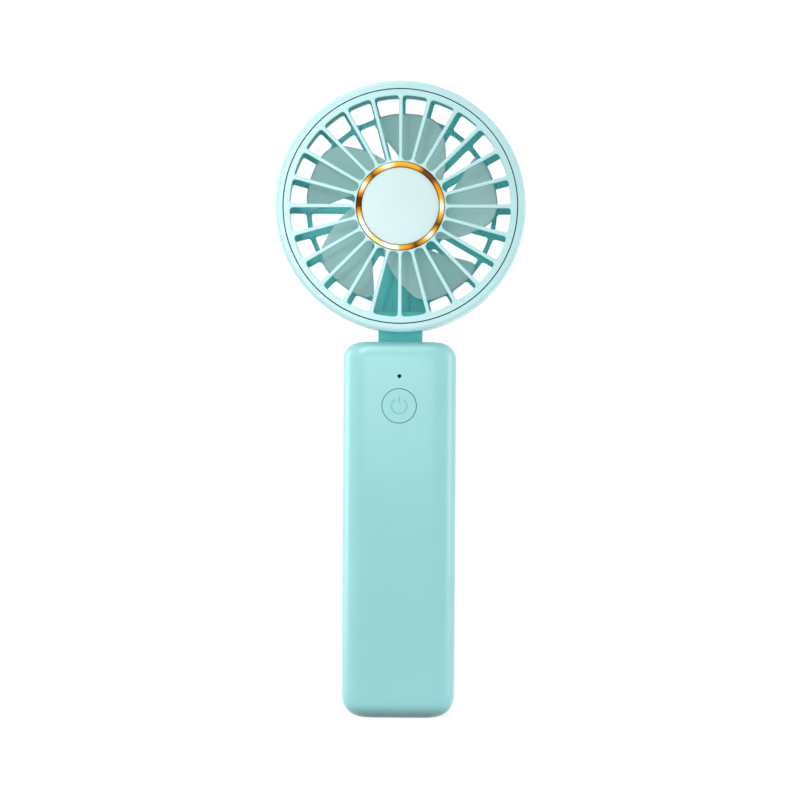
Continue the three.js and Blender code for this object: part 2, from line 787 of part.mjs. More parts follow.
// The grip's rounded bar, drawn in everywhere by an inset.
function gripBar(inset, steps, endRows) {
  const low = inset;
  const high = gripHeight - inset;
  const levels = [];
  for (let i = 0; i < endRows; i += 1) {
    levels.push(low + (baseRoundZ - inset) * (1 - Math.cos(i * Math.PI / 2 / endRows)));
  }
  levels.push(baseRoundZ);
  levels.push(gripHeight - topRoundZ);
  for (let i = endRows - 1; i >= 0; i -= 1) {
    levels.push(high - (topRoundZ - inset) * (1 - Math.cos(i * Math.PI / 2 / endRows)));
  }
  const rings = levels.map((z) => {
    const fromBase = z - low;
    const fromTop = high - z;
    const pullX = drawnIn(fromBase, baseRoundZ - inset, baseRoundX - inset)
      + drawnIn(fromTop, topRoundZ - inset, topRoundX - inset);
    const pullY = drawnIn(fromBase, baseRoundZ - inset, baseRoundY - inset)
      + drawnIn(fromTop, topRoundZ - inset, topRoundY - inset);
    const corner = gripCorner - inset - cornerShare * pullY;
    return sectionPoints(halfWidth - inset - pullX, halfDepth - inset - pullY, corner, z, steps);
  });
  const count = rings[0].length;
  const positions = rings.flat();
  const faces = [];
  for (let i = 0; i < rings.length - 1; i += 1) {
    for (let j = 0; j < count; j += 1) {
      const a = i * count + j;
      const b = i * count + (j + 1) % count;
      faces.push(a, b, b + count, a, b + count, a + count);
    }
  }
  const bottom = positions.push([0, 0, low]) - 1;
  const top = positions.push([0, 0, high]) - 1;
  const last = (rings.length - 1) * count;
  for (let j = 0; j < count; j += 1) {
    const next = (j + 1) % count;
    faces.push(bottom, next, j, top, last + j, last + next);
  }
  const geometry = new THREE.BufferGeometry();
  geometry.setAttribute('position', new THREE.Float32BufferAttribute(positions.flat(), 3));
  geometry.setIndex(faces);
  return solid(geometry);
}

function gripShell() {
  return cut(gripBar(0, 6, 6), gripBar(gripWall, 4, 3));
}

function bossPlaces() {
  return [[-bossX, bossLow], [bossX, bossLow], [-bossX, bossHigh], [bossX, bossHigh]];
}

function boardPostPlaces() {
  const x = boardWidth / 2 - boardPostInset;
  const low = boardBottom + boardPostInset;
  const high = boardBottom + boardLength - boardPostInset;
  return [[-x, low], [x, low], [-x, high], [x, high]];
}

// One half of space, in front of the seam or behind it.
function seamHalf(front) {
  const size = 2 * gripHeight;
  const y = front ? gripSplit - size / 2 : gripSplit + fit + size / 2;
  return block(size, size, size, 0, y, gripHeight / 2);
}

function neckSpace() {
  return block(neckWidth + 2 * fit, neckDepth + 2 * fit, 2 * neckInGrip, 0, neckMiddle, gripHeight);
}

function frontShell() {
  const wall = -(innerFront + gripWall / 2);
  const outside = -halfDepth - through;
  const inside = -innerFront + through;
  const bosses = bossPlaces().map(([x, z]) => barY(bossRadius, wall, gripSplit, x, z));
  const posts = boardPostPlaces().map(([x, z]) => barY(boardPostRadius, wall, -boardFront - fit, x, z, 10));
  const body = union(gripShell().intersect(seamHalf(true)), ...bosses, ...posts);
  const floor = bossFloor - innerFront;
  const bores = bossPlaces().map(([x, z]) => barY(bossBore, floor, gripSplit + through, x, z));
  const buttonHole = barY(buttonRadius + bodyGap, outside, inside, 0, buttonHeight, 40);
  const ledHole = barY(pipeRadius + fit, outside, inside, 0, ledHeight);
  return cut(body, ...bores, buttonHole, ledHole, neckSpace());
}

// A stadium-shaped bar lying along Y between two depths.
function stadiumY(width, height, from, to, z) {
  const shape = new THREE.Shape();
  const r = height / 2;
  shape.absarc(width / 2 - r, 0, r, -Math.PI / 2, Math.PI / 2, false);
  shape.absarc(r - width / 2, 0, r, Math.PI / 2, 3 * Math.PI / 2, false);
  const options = { depth: to - from, bevelEnabled: false, curveSegments: 8 };
  const bar = new THREE.ExtrudeGeometry(shape, options).rotateX(-Math.PI / 2);
  return solid(bar.translate(0, from, z));
}

// Ledges under the neck's flange, at both sides behind the seam.
function neckLedges() {
  const depth = innerFront - gripSplit - fit;
  const x = neckFlangeHalf - ledgeWidth / 8;
  const y = gripSplit + fit + depth / 2 + gripWall / 4;
  const z = flangeBottom - bodyGap - ledgeHeight / 2;
  return [-x, x].map((side) => block(ledgeWidth, depth, ledgeHeight, side, y, z));
}

function rearShell() {
  const seam = gripSplit + fit;
  const outside = halfDepth + through;
  const bosses = bossPlaces().map(([x, z]) => barY(bossRadius, seam, innerFront + gripWall / 2, x, z));
  const body = union(gripShell().intersect(seamHalf(false)), ...bosses, ...neckLedges());
  const bores = bossPlaces().map(([x, z]) => union(
    barY(bossBore, seam - through, outside, x, z),
    barY(counterbore, halfDepth - counterboreDepth, outside, x, z),
  ));
  const mouthWidth = socketWidth + 2 * socketMouthGap;
  const mouthHeight = socketHeight + 2 * socketMouthGap;
  const mouth = stadiumY(mouthWidth, mouthHeight, innerFront - through, outside, socketMiddle);
  return cut(body, ...bores, mouth, neckSpace());
}

// The neck's stem, the flange that the grip holds and the foot that the head holds.
function neckBody(low, high, footRear) {
  const stem = block(neckWidth, neckDepth, high - low, 0, neckMiddle, (low + high) / 2);
  const flangeMiddle = flangeBottom + neckFlangeThickness / 2;
  const flange = block(2 * neckFlangeHalf, neckDepth, neckFlangeThickness, 0, neckMiddle, flangeMiddle);
  const front = neckRear - neckDepth;
  const footWidth = neckWidth + 2 * neckFootLip;
  const middle = (front + footRear) / 2;
  const foot = block(footWidth, footRear - front, 2 * neckInside, 0, middle, high - neckInside);
  const bore = barY(wallInner - fit, front - through, footRear + through, 0, headCentre, 96);
  return union(stem, flange, foot.intersect(bore));
}

function neck() {
  const low = gripHeight - neckInGrip;
  const wall = headCentre - wallInner;
  const high = wall + neckInside;
  const footRear = headHalf - rearPlate - fit;
  const open = footRear + through;
  const ductHeight = high - low - through;
  const duct = block(ductWidth, ductDepth, ductHeight + through, 0, ductMiddle, low + ductHeight / 2);
  const channelFront = ductMiddle - ductDepth / 2;
  const channelMiddle = (channelFront + open) / 2;
  const channelHigh = wall + channelFloor + channelHeight / 2;
  const channel = block(ductWidth, open - channelFront, channelHeight, 0, channelMiddle, channelHigh);
  const bores = neckScrewPlaces.map(
    (x) => barY(bossBore, footRear - neckScrewLength, open, x, headCentre - neckScrewRadius),
  );
  return cut(neckBody(low, high, footRear), duct, channel, ...bores);
}

// A cross-slotted screw pointing along Y, its head at the rear.
function screw(length) {
  const top = screwHeadDepth - fit;
  const head = turned([
    [0, 0],
    [screwHeadRadius, 0],
    [screwHeadRadius, top * screwHeadTop],
    [screwHeadRadius * screwHeadTop, top],
    [0, top],
  ], 12);
  const shank = disc(screwShankRadius, -length, overlap, 8);
  const slot = block(screwSlot.width, screwSlot.height, screwSlot.depth, 0, 0, top);
  return cut(union(head, shank), slot, slot.rotate([0, 0, 90]));
}

function screwMesh(name, length, x, rear, z) {
  const mesh = piece(name, screw(length), steel);
  mesh.rotation.x = -Math.PI / 2;
  mesh.position.set(x, rear, z);
  return mesh;
}

function buttonCap() {
  const flangeFront = -innerFront + fit;
  const flangeBack = flangeFront + buttonFlange;
  const top = barY(buttonRadius, -halfDepth, flangeFront + overlap, 0, buttonHeight, 40);
  const flange = barY(buttonRadius + buttonFlangeLip, flangeFront, flangeBack, 0, buttonHeight, 32);
  const stem = barY(buttonStem, flangeFront, plungerFront - fit / 2, 0, buttonHeight);
  return union(top, flange, stem);
}

function switchBody() {
  const body = block(switchSize, switchDepth, switchSize, 0, switchFront + switchDepth / 2, buttonHeight);
  const boreEnd = plungerFront + plungerLength + buttonTravel + overlap;
  return cut(body, barY(plungerRadius + fit, switchFront - through, boreEnd, 0, buttonHeight));
}

function switchPlunger() {
  return barY(plungerRadius, plungerFront, plungerFront + plungerLength, 0, buttonHeight);
}

function statusLed() {
  return block(ledWidth, ledSize, ledSize, 0, -boardFront - fit - ledSize / 2, ledHeight);
}

function lightPipe() {
  const stem = barY(pipeRadius, -halfDepth, -boardFront - ledSize - 2 * fit, 0, ledHeight);
  const flangeFront = -innerFront + fit;
  return stem.add(barY(pipeFlangeRadius, flangeFront, flangeFront + pipeFlange, 0, ledHeight));
}

function controlBoard() {
  const y = -boardFront + boardThickness / 2;
  return block(boardWidth, boardThickness, boardLength, 0, y, boardBottom + boardLength / 2);
}

function onBoard(part) {
  const y = -boardFront + boardThickness + fit + part.depth / 2;
  const x = part.side * boardWidth;
  return block(part.width * boardWidth, part.depth, part.height, x, y, boardBottom + part.rise);
}

function chargeBoard() {
  const y = innerFront - chargeBoardGap - chargeBoardDepth / 2;
  const z = chargeBoardBottom + boardThickness / 2;
  return block(chargeBoardWidth, chargeBoardDepth, boardThickness, 0, y, z);
}

function chargeSocket() {
  const rear = halfDepth - socketRecess;
  const front = rear - socketDepth;
  const innerWidth = socketWidth - 2 * socketWall;
  const innerHeight = socketHeight - 2 * socketWall;
  const body = stadiumY(socketWidth, socketHeight, front, rear, socketMiddle);
  const hollow = stadiumY(innerWidth, innerHeight, front + socketFloor, rear + through, socketMiddle);
  const tongueFront = front + socketFloor - overlap;
  const tongueLength = rear - tongueShort - tongueFront;
  const tongueMiddle = tongueFront + tongueLength / 2;
  const tongue = block(tongueWidth, tongueLength, tongueThickness, 0, tongueMiddle, socketMiddle);
  return cut(body, hollow).add(tongue);
}

function cellCradle() {
  const front = cellBack + cradleFront;
  const depth = innerFront - 2 * fit - front;
  const middle = cellBottom + cellLength / 2;
  const body = block(2 * (cellRadius + cradleWall), depth, cellLength, 0, front + depth / 2, middle);
  const room = disc(cellRadius + fit, cellBottom - through, cellTop + through, 40);
  return cut(body, room.translate([0, cellBack, 0]));
}

function batteryCell() {
  return turned([
    [0, cellBottom],
    [cellRadius - cellBevel, cellBottom],
    [cellRadius, cellBottom + cellBevel],
    [cellRadius, cellTop - cellBevel],
    [cellRadius - cellBevel, cellTop],
    [0, cellTop],
  ], 40).translate([0, cellBack, 0]);
}

function cellTab(z) {
  return block(tabWidth, 2 * (cellRadius - tabInset), tabThickness, 0, cellBack - tabForward, z);
}

function cellFoam() {
  const depth = innerFront - (cellRadius - cellBack) - 2 * fit;
  const width = 2 * (cellRadius - foamInset);
  const length = Math.min(foamLength, cellLength - cellBevel);
  return block(width, depth, length, 0, -innerFront + fit + depth / 2, cellBottom + cellLength / 2);
}

// ---- leads: each a list of [x, y, z] that its middle runs through ---------------------------------
const leadSide = cellRadius + 2 * fit;
const plugMiddle = -boardFront + boardThickness + fit + batteryPlug.depth / 2;
const plugFoot = boardBottom + batteryPlug.rise - batteryPlug.height / 2 - 2 * fit;
const cellMiddle = cellBottom + cellLength / 2;
const plugX = boardWidth * 0.12;                 // battery leads at the plug, right and left
const chargeX = boardWidth * 0.17;               // charge leads at the plug
const chargeLeadShift = 1.8;                     // black charge lead behind the red one
const motorLeadX = 0.75;                         // motor leads to each side of the middle

function batteryRedPath() {
  return [
    [plugX, plugMiddle - 0.2, cellTop + 1.2],
    [plugX, plugMiddle - 0.4, cellTop + 2],
    [plugX, plugMiddle, plugFoot - 1],
    [plugX, plugMiddle, plugFoot],
  ];
}

function batteryBlackPath() {
  return [
    [-plugX + 0.4, cellBack - 4.2, cellBottom - 1.3],
    [3.2 - leadSide, cellBack - 5.2, cellBottom - 2],
    [-leadSide, cellBack - 8.4, cellBottom + 4],
    [-leadSide, cellBack - 8.6, cellMiddle],
    [-leadSide, cellBack - 8.4, cellTop - 2],
    [3.2 - leadSide, plugMiddle - 1.2, cellTop + 1.5],
    [-plugX, plugMiddle, plugFoot - 1],
    [-plugX, plugMiddle, plugFoot],
  ];
}

function chargePath(shift) {
  const top = chargeBoardBottom + boardThickness;
  const front = cellBack - 9;
  const y = front + shift;
  return [
    [leadSide - 3, shift - 1, top + 0.8],
    [leadSide - 1, front / 2 + shift, top + 4],
    [leadSide, y, cellBottom + 6],
    [leadSide, y, cellMiddle],
    [leadSide, y, cellTop - 4],
    [leadSide - 1, plugMiddle - 1.3 + shift, cellTop + 1.4],
    [chargeX, plugMiddle - 0.8 + shift, plugFoot - 1],
    [chargeX, plugMiddle - 0.8 + shift, plugFoot],
  ];
}

function motorPath(x) {
  const grooveY = headHalf - rearPlate + grooveDepth / 2 + fit;
  const wall = headCentre - wallInner;
  const spread = x * 1.6;
  return [
    [x, grooveY - 0.9, headCentre - motorBoardRadius + 2.2],
    [x, grooveY, headCentre - motorBoardRadius - 0.6],
    [x, grooveY, headCentre - coverMiddle],
    [x, grooveY, wall + 5.2],
    [x, grooveY - 0.2, wall + 2.9],
    [x, grooveY - 2.6, wall + 1.7],
    [x, ductMiddle + 1.4, wall + 1.6],
    [x, ductMiddle, wall - 1],
    [x, ductMiddle, gripHeight],
    [x, ductMiddle - 0.2, gripHeight - 8],
    [spread, ductMiddle - 2.6, gripHeight - 11],
    [spread, plugMiddle + 0.4, gripHeight - 12.2],
    [spread, plugMiddle, gripHeight - 13],
  ];
}

function leads() {
  return [
    piece('battery_lead_red', lead(batteryRedPath()), redLead),
    piece('battery_lead_black', lead(batteryBlackPath()), blackLead),
    piece('charge_lead_red', lead(chargePath(0)), redLead),
    piece('charge_lead_black', lead(chargePath(chargeLeadShift)), blackLead),
    piece('motor_lead_red', lead(motorPath(motorLeadX)), redLead),
    piece('motor_lead_black', lead(motorPath(-motorLeadX)), blackLead),
  ];
}

function gripGroup() {
  const group = new THREE.Group();
  const tabGap = fit + tabThickness / 2;
  group.add(
    piece('handle_front_shell', frontShell(), gripColour),
    piece('handle_rear_shell', rearShell(), gripColour),
    piece('neck', neck(), deepShell),
    piece('button_cap', buttonCap(), gripColour),
    piece('switch_body', switchBody(), blackPlastic),
    piece('switch_plunger', switchPlunger(), whitePlastic),
    piece('light_pipe', lightPipe(), smoke),
    piece('status_led', statusLed(), whitePlastic),
    piece('control_board', controlBoard(), board),
    piece('control_chip', onBoard(chip), blackPlastic),
    piece('power_inductor', onBoard(inductor), iron),
    piece('motor_plug', onBoard(motorPlug), whitePlastic),
    piece('battery_plug', onBoard(batteryPlug), whitePlastic),
    piece('battery_cell', batteryCell(), sleeveWrap),
    piece('battery_cradle', cellCradle(), blackPlastic),
    piece('battery_tab_top', cellTab(cellTop + tabGap), steel),
    piece('battery_tab_bottom', cellTab(cellBottom - tabGap), steel),
    piece('cell_foam', cellFoam(), foam),
    piece('charge_board', chargeBoard(), board),
    piece('charge_socket', chargeSocket(), steel),
    ...leads(),
  );
  const shellSeat = halfDepth - counterboreDepth + fit;
  bossPlaces().forEach(([x, z], i) => {
    group.add(screwMesh(`shell_screw_${i + 1}`, shellScrewLength, x, shellSeat, z));
  });
  const neckSeat = headHalf - screwHeadDepth + fit;
  ['neck_screw_left', 'neck_screw_right'].forEach((name, i) => {
    group.add(screwMesh(name, neckScrewLength, neckScrewPlaces[i], neckSeat, headCentre - neckScrewRadius));
  });
  return group;
}

const fan = new THREE.Group();
fan.name = 'handheld_fan';
fan.add(headGroup(), gripGroup());

export default fan;
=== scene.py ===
import json
import math

import bmesh
import bpy
from mathutils import Matrix, Vector


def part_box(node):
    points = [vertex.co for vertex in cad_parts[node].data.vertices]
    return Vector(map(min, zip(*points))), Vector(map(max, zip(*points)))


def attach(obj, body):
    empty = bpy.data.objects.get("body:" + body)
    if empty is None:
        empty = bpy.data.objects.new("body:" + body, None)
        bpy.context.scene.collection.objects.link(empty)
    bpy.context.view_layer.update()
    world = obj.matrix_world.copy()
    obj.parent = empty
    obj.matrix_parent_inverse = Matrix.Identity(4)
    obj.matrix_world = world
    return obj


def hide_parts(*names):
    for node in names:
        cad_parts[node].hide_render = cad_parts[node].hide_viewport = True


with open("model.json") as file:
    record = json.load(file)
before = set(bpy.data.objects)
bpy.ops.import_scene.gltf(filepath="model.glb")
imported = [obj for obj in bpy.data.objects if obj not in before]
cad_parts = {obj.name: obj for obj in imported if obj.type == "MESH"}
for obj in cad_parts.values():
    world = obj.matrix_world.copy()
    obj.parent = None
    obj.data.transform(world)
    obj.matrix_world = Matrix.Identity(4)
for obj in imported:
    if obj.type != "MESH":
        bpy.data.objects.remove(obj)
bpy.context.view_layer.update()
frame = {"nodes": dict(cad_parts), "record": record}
print("frame loaded:", len(frame["nodes"]), "nodes")

mm = 0.001
ringLow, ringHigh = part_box("head_ring")
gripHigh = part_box("handle_rear_shell")[1]
headZ = (ringLow.z + ringHigh.z) / 2


# small helpers

def facingFront(z):  # places what was drawn lying down, front side up
    return Matrix.Translation((0, 0, z)) @ Matrix.Rotation(math.pi / 2, 4, "X")


headPlace = facingFront(headZ)


def tint(red, green, blue):  # screen colour 0-255 to the linear colour that shaders want
    channels = []
    for value in (red, green, blue):
        part = value / 255
        channels.append(part / 12.92 if part <= 0.04045 else ((part + 0.055) / 1.055) ** 2.4)
    return (*channels, 1)


def addObject(name, mesh):
    piece = bpy.data.objects.new(name, mesh)
    bpy.context.scene.collection.objects.link(piece)
    return piece


def fromBmesh(name, bm, place=None, scale=mm):
    bm.transform(Matrix.Scale(scale, 4))
    if place is not None:
        bm.transform(place)
    bmesh.ops.recalc_face_normals(bm, faces=bm.faces)
    mesh = bpy.data.meshes.new(name)
    bm.to_mesh(mesh)
    bm.free()
    return addObject(name, mesh)


def settle(piece):  # whatever its modifiers make becomes its plain mesh
    depsgraph = bpy.context.evaluated_depsgraph_get()
    mesh = bpy.data.meshes.new_from_object(piece.evaluated_get(depsgraph))
    piece.modifiers.clear()
    old = piece.data
    piece.data = mesh
    mesh.name = piece.name
    if old.users == 0:
        bpy.data.meshes.remove(old)
    return piece


def carve(piece, cutters, operation="DIFFERENCE"):
    for cutter in cutters:
        modifier = piece.modifiers.new("carve", "BOOLEAN")
        modifier.object = cutter
        modifier.operation = operation
        modifier.solver = "EXACT"
    settle(piece)
    for cutter in cutters:
        bpy.data.objects.remove(cutter)
    return piece


def smooth(piece, angle=38, edge=0, edgeSegments=2):  # soft shading, with a fine rounding on hard edges
    if edge:
        bevel = piece.modifiers.new("edge", "BEVEL")
        bevel.width = edge * mm
        bevel.segments = edgeSegments
        bevel.limit_method = "ANGLE"
        bevel.angle_limit = math.radians(angle)
        bevel.use_clamp_overlap = True
        settle(piece)
    piece.data.polygons.foreach_set("use_smooth", [True] * len(piece.data.polygons))
    piece.data.set_sharp_from_angle(angle=math.radians(angle))
    weighted = piece.modifiers.new("even", "WEIGHTED_NORMAL")
    weighted.keep_sharp = True
    return settle(piece)


def finishPiece(piece, body, slot, replaces=(), material=None):
    piece.data.materials.clear()
    piece.data.materials.append(material or finishes[slot])
    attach(piece, body)
    if replaces:
        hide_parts(*replaces)
    return piece


def fillet(points, steps=6):  # [(x, y, radius)] of a closed outline to plain points with round corners
    outline = []
    for i, (x, y, radius) in enumerate(points):
        corner = Vector((x, y))
        if radius <= 0:
            outline.append(corner)
            continue
        before = Vector(points[i - 1][:2]) - corner
        after = Vector(points[(i + 1) % len(points)][:2]) - corner
        half = before.angle(after) / 2
        reach = min(radius / math.tan(half), before.length * 0.499, after.length * 0.499)
        radius = reach * math.tan(half)
        centre = corner + (before.normalized() + after.normalized()).normalized() * radius / math.sin(half)
        start = corner + before.normalized() * reach - centre
        end = corner + after.normalized() * reach - centre
        turn = math.atan2(start.cross(end), start.dot(end))
        for step in range(steps + 1):
            angle = turn * step / steps
            cos, sin = math.cos(angle), math.sin(angle)
            outline.append(centre + Vector((start.x * cos - start.y * sin, start.x * sin + start.y * cos)))
    return outline


def spin(outline, segments=160):  # a closed (radius, height) outline turned about the axis
    bm = bmesh.new()
    rings = []
    for radius, height in outline:
        if radius < 1e-6:
            rings.append([bm.verts.new((0, 0, height))] * segments)
        else:
            turns = [2 * math.pi * i / segments for i in range(segments)]
            rings.append([bm.verts.new((*polar(radius, turn), height)) for turn in turns])
    for ring, after in zip(rings, rings[1:] + rings[:1]):
        for i in range(segments):
            j = (i + 1) % segments
            corners = list(dict.fromkeys([ring[i], ring[j], after[j], after[i]]))  # on the axis two are one
            if len(corners) > 2:
                bm.faces.new(corners)
    return bm


def polar(radius, angle):
    return Vector((radius * math.cos(angle), radius * math.sin(angle)))


def boxMiddle(node):  # in mm
    low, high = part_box(node)
    return (low + high) / 2 / mm


def barAlongY(name, radius, start, end, x, z, segments=64):  # a cutter or pin lying front to back
    bm = bmesh.new()
    bmesh.ops.create_cone(bm, cap_ends=True, segments=segments, radius1=radius, radius2=radius,
                          depth=end - start)
    return fromBmesh(name, bm, Matrix.Translation((x * mm, (start + end) / 2 * mm, 0)) @ facingFront(z * mm))


def boxPiece(name, low, high):
    bm = bmesh.new()
    bmesh.ops.create_cube(bm, size=1)
    size = [b - a for a, b in zip(low, high)]
    middle = [(a + b) / 2 for a, b in zip(low, high)]
    bm.transform(Matrix.Translation(middle) @ Matrix.Diagonal((*size, 1)))
    return fromBmesh(name, bm)


def softCopy(node, name, edge, segments=3, angle=30):  # a CAD node's own shape with its edges rounded
    bm = bmesh.new()
    bm.from_mesh(frame["nodes"][node].data)
    bmesh.ops.remove_doubles(bm, verts=bm.verts, dist=2e-6)
    bmesh.ops.dissolve_limit(bm, angle_limit=math.radians(0.5), verts=bm.verts, edges=bm.edges)
    piece = fromBmesh(name, bm, scale=1)
    return smooth(piece, angle, edge, segments)


# geometry node trees

def newTree(name, sockets):
    tree = bpy.data.node_groups.new(name, "GeometryNodeTree")
    for label, kind in [("Geometry", "Geometry")] + sockets:
        tree.interface.new_socket(label, in_out="INPUT", socket_type="NodeSocket" + kind)
    tree.interface.new_socket("Geometry", in_out="OUTPUT", socket_type="NodeSocketGeometry")
    return tree, tree.nodes.new("NodeGroupInput"), tree.nodes.new("NodeGroupOutput")


def wire(tree, node, inputs):  # gives each input its value, or links it to another node's output
    for label, value in inputs.items():
        if isinstance(value, bpy.types.NodeSocket):
            tree.links.new(value, node.inputs[label])
        else:
            node.inputs[label].default_value = value
    return node


def addNode(tree, kind, inputs=None, **settings):
    node = tree.nodes.new(kind)
    for name, value in settings.items():
        setattr(node, name, value)
    return wire(tree, node, inputs or {})


def mathNode(tree, operation, first, second=0):
    return addNode(tree, "ShaderNodeMath", {0: first, 1: second}, operation=operation).outputs[0]


def runTree(piece, tree, values):
    modifier = piece.modifiers.new(tree.name, "NODES")
    modifier.node_group = tree
    for item in tree.interface.items_tree:
        if item.item_type == "SOCKET" and item.in_out == "INPUT" and item.name in values:
            modifier[item.identifier] = values[item.name]
    return settle(piece)


def realized(tree, geometry, given, result, joinDistance=None):  # ends a tree in plain mesh with its finish
    geometry = addNode(tree, "GeometryNodeRealizeInstances", {0: geometry}).outputs[0]
    if joinDistance is not None:
        merge = {"Geometry": geometry, "Distance": joinDistance}
        geometry = addNode(tree, "GeometryNodeMergeByDistance", merge).outputs[0]
    finish = addNode(tree, "GeometryNodeSetMaterial", {"Geometry": geometry, "Material": given["Finish"]})
    tree.links.new(finish.outputs[0], result.inputs[0])
    return tree


def radialTree():  # copies of a sector round the axis, a second sector where the first is left out
    tree, given, result = newTree("radial pattern", [
        ("Count", "Int"), ("Closed from", "Int"), ("Closed to", "Int"), ("Closed sector", "Object"),
        ("Join distance", "Float"), ("Finish", "Material")])
    given = given.outputs
    points = addNode(tree, "GeometryNodePoints", {"Count": given["Count"]}).outputs[0]
    index = addNode(tree, "GeometryNodeInputIndex").outputs[0]
    turn = mathNode(tree, "DIVIDE", mathNode(tree, "MULTIPLY", index, 2 * math.pi), given["Count"])
    rotation = addNode(tree, "FunctionNodeAxisAngleToRotation", {"Axis": (0, 0, 1), "Angle": turn}).outputs[0]
    above = mathNode(tree, "GREATER_THAN", mathNode(tree, "ADD", index, 0.5), given["Closed from"])
    below = mathNode(tree, "LESS_THAN", mathNode(tree, "SUBTRACT", index, 0.5), given["Closed to"])
    closed = mathNode(tree, "MULTIPLY", above, below)
    sector = addNode(tree, "GeometryNodeObjectInfo", {"Object": given["Closed sector"]})
    join = addNode(tree, "GeometryNodeJoinGeometry")
    for geometry, selection in ((given["Geometry"], mathNode(tree, "SUBTRACT", 1, closed)),
                                (sector.outputs["Geometry"], closed)):
        copies = addNode(tree, "GeometryNodeInstanceOnPoints", {
            "Points": points, "Instance": geometry, "Selection": selection, "Rotation": rotation})
        tree.links.new(copies.outputs[0], join.inputs[0])
    return realized(tree, join.outputs[0], given, result, given["Join distance"])


def gridTree():  # copies of one fastener on a rectangular pattern in the X-Z plane
    tree, given, result = newTree("fastener pattern", [
        ("Columns", "Int"), ("Rows", "Int"), ("Width", "Float"), ("Height", "Float"), ("Centre", "Vector"),
        ("Finish", "Material")])
    given = given.outputs
    grid = addNode(tree, "GeometryNodeMeshGrid", {
        "Size X": given["Width"], "Size Y": given["Height"], "Vertices X": given["Columns"],
        "Vertices Y": given["Rows"]})
    upright = addNode(tree, "GeometryNodeTransform", {
        "Geometry": grid.outputs["Mesh"], "Rotation": (math.pi / 2, 0, 0), "Translation": given["Centre"]})
    copies = addNode(tree, "GeometryNodeInstanceOnPoints", {
        "Points": upright.outputs[0], "Instance": given["Geometry"]})
    return realized(tree, copies.outputs[0], given, result)


# materials

def newMaterial(name):
    material = bpy.data.materials.new(name)
    material.use_nodes = True
    tree = material.node_tree
    shader = tree.nodes["Principled BSDF"]
    coords = tree.nodes.new("ShaderNodeTexCoord").outputs["Object"]
    return material, tree, shader, coords


def noise(tree, coords, scale, detail=3, roughness=0.5):
    return addNode(tree, "ShaderNodeTexNoise", {
        "Scale": scale, "Detail": detail, "Roughness": roughness, "Vector": coords}).outputs["Fac"]


def ramp(tree, factor, stops):
    node = addNode(tree, "ShaderNodeValToRGB", {"Fac": factor})
    elements = node.color_ramp.elements
    while len(elements) < len(stops):
        elements.new(0.5)
    for element, (position, colour) in zip(elements, stops):
        element.position = position
        element.color = colour
    return node.outputs["Color"]


def spread(tree, factor, low, high):
    node = addNode(tree, "ShaderNodeMapRange", {"To Min": low, "To Max": high, "Value": factor})
    return node.outputs["Result"]


def fade(tree, value, start, end):  # smooth 0 to 1 between two values
    node = addNode(tree, "ShaderNodeMapRange", {"From Min": start, "From Max": end, "Value": value},
                   interpolation_type="SMOOTHSTEP")
    return node.outputs["Result"]


def blendTo(tree, base, colour, factor):
    node = addNode(tree, "ShaderNodeMix", {"Factor": factor, "A": base, "B": colour}, data_type="RGBA")
    return node.outputs["Result"]


def splitOf(tree, coords):
    return addNode(tree, "ShaderNodeSeparateXYZ", {0: coords}).outputs


def addBump(tree, shader, height, strength, distance):
    bump = addNode(tree, "ShaderNodeBump", {"Strength": strength, "Distance": distance, "Height": height})
    tree.links.new(bump.outputs["Normal"], shader.inputs["Normal"])


def shadeOf(colour, factor):
    return (*[min(1, part * factor) for part in colour[:3]], 1)


def distanceMask(tree, coords, axis, low, high, soft=0.03):
    # 1 inside a ring round a front-to-back axis (x, z), between two radii in mm
    along = splitOf(tree, coords)
    across = mathNode(tree, "SUBTRACT", along["X"], axis[0] * mm)
    up = mathNode(tree, "SUBTRACT", along["Z"], axis[1] * mm)
    squares = [mathNode(tree, "MULTIPLY", part, part) for part in (across, up)]
    distance = mathNode(tree, "SQRT", mathNode(tree, "ADD", *squares))
    rise = fade(tree, distance, (low - soft) * mm, (low + soft) * mm)
    fall = fade(tree, distance, (high + soft) * mm, (high - soft) * mm)
    return mathNode(tree, "MULTIPLY", rise, fall)


def plastic(name, colour, roughness=0.42, grain=0.35, mottle=0.035, gloss=0.5, sheen=0.0, seams=(),
            depths=()):
    # moulded plastic: slight flow mottling, fine spark-eroded grain, a little uneven gloss
    # seams: (axis, low, high, colour), rings that lie in shadow
    # depths: (letter, from, to, colour, dullness), a colour that deepens along an axis
    material, tree, shader, coords = newMaterial(name)
    flow = noise(tree, coords, 38, 4, 0.55)
    base = ramp(tree, flow, [(0.25, shadeOf(colour, 1 - mottle)), (0.75, shadeOf(colour, 1 + mottle))])
    wear = spread(tree, noise(tree, coords, 160, 2), roughness - 0.04, roughness + 0.05)
    masks = [(fade(tree, splitOf(tree, coords)[letter], start * mm, end * mm), shade, dull)
             for letter, start, end, shade, dull in depths]
    masks += [(distanceMask(tree, coords, axis, low, high), shade, 1) for axis, low, high, shade in seams]
    for mask, shade, dull in masks:
        base = blendTo(tree, base, shade, mask)
        wear = mathNode(tree, "MAXIMUM", wear, mathNode(tree, "MULTIPLY", mask, dull))
    addBump(tree, shader, noise(tree, coords, 5200, 2, 0.6), grain, 0.00002)
    wire(tree, shader, {"Base Color": base, "Roughness": wear, "Specular IOR Level": gloss,
                        "Sheen Weight": sheen, "Sheen Roughness": 0.3})
    return material


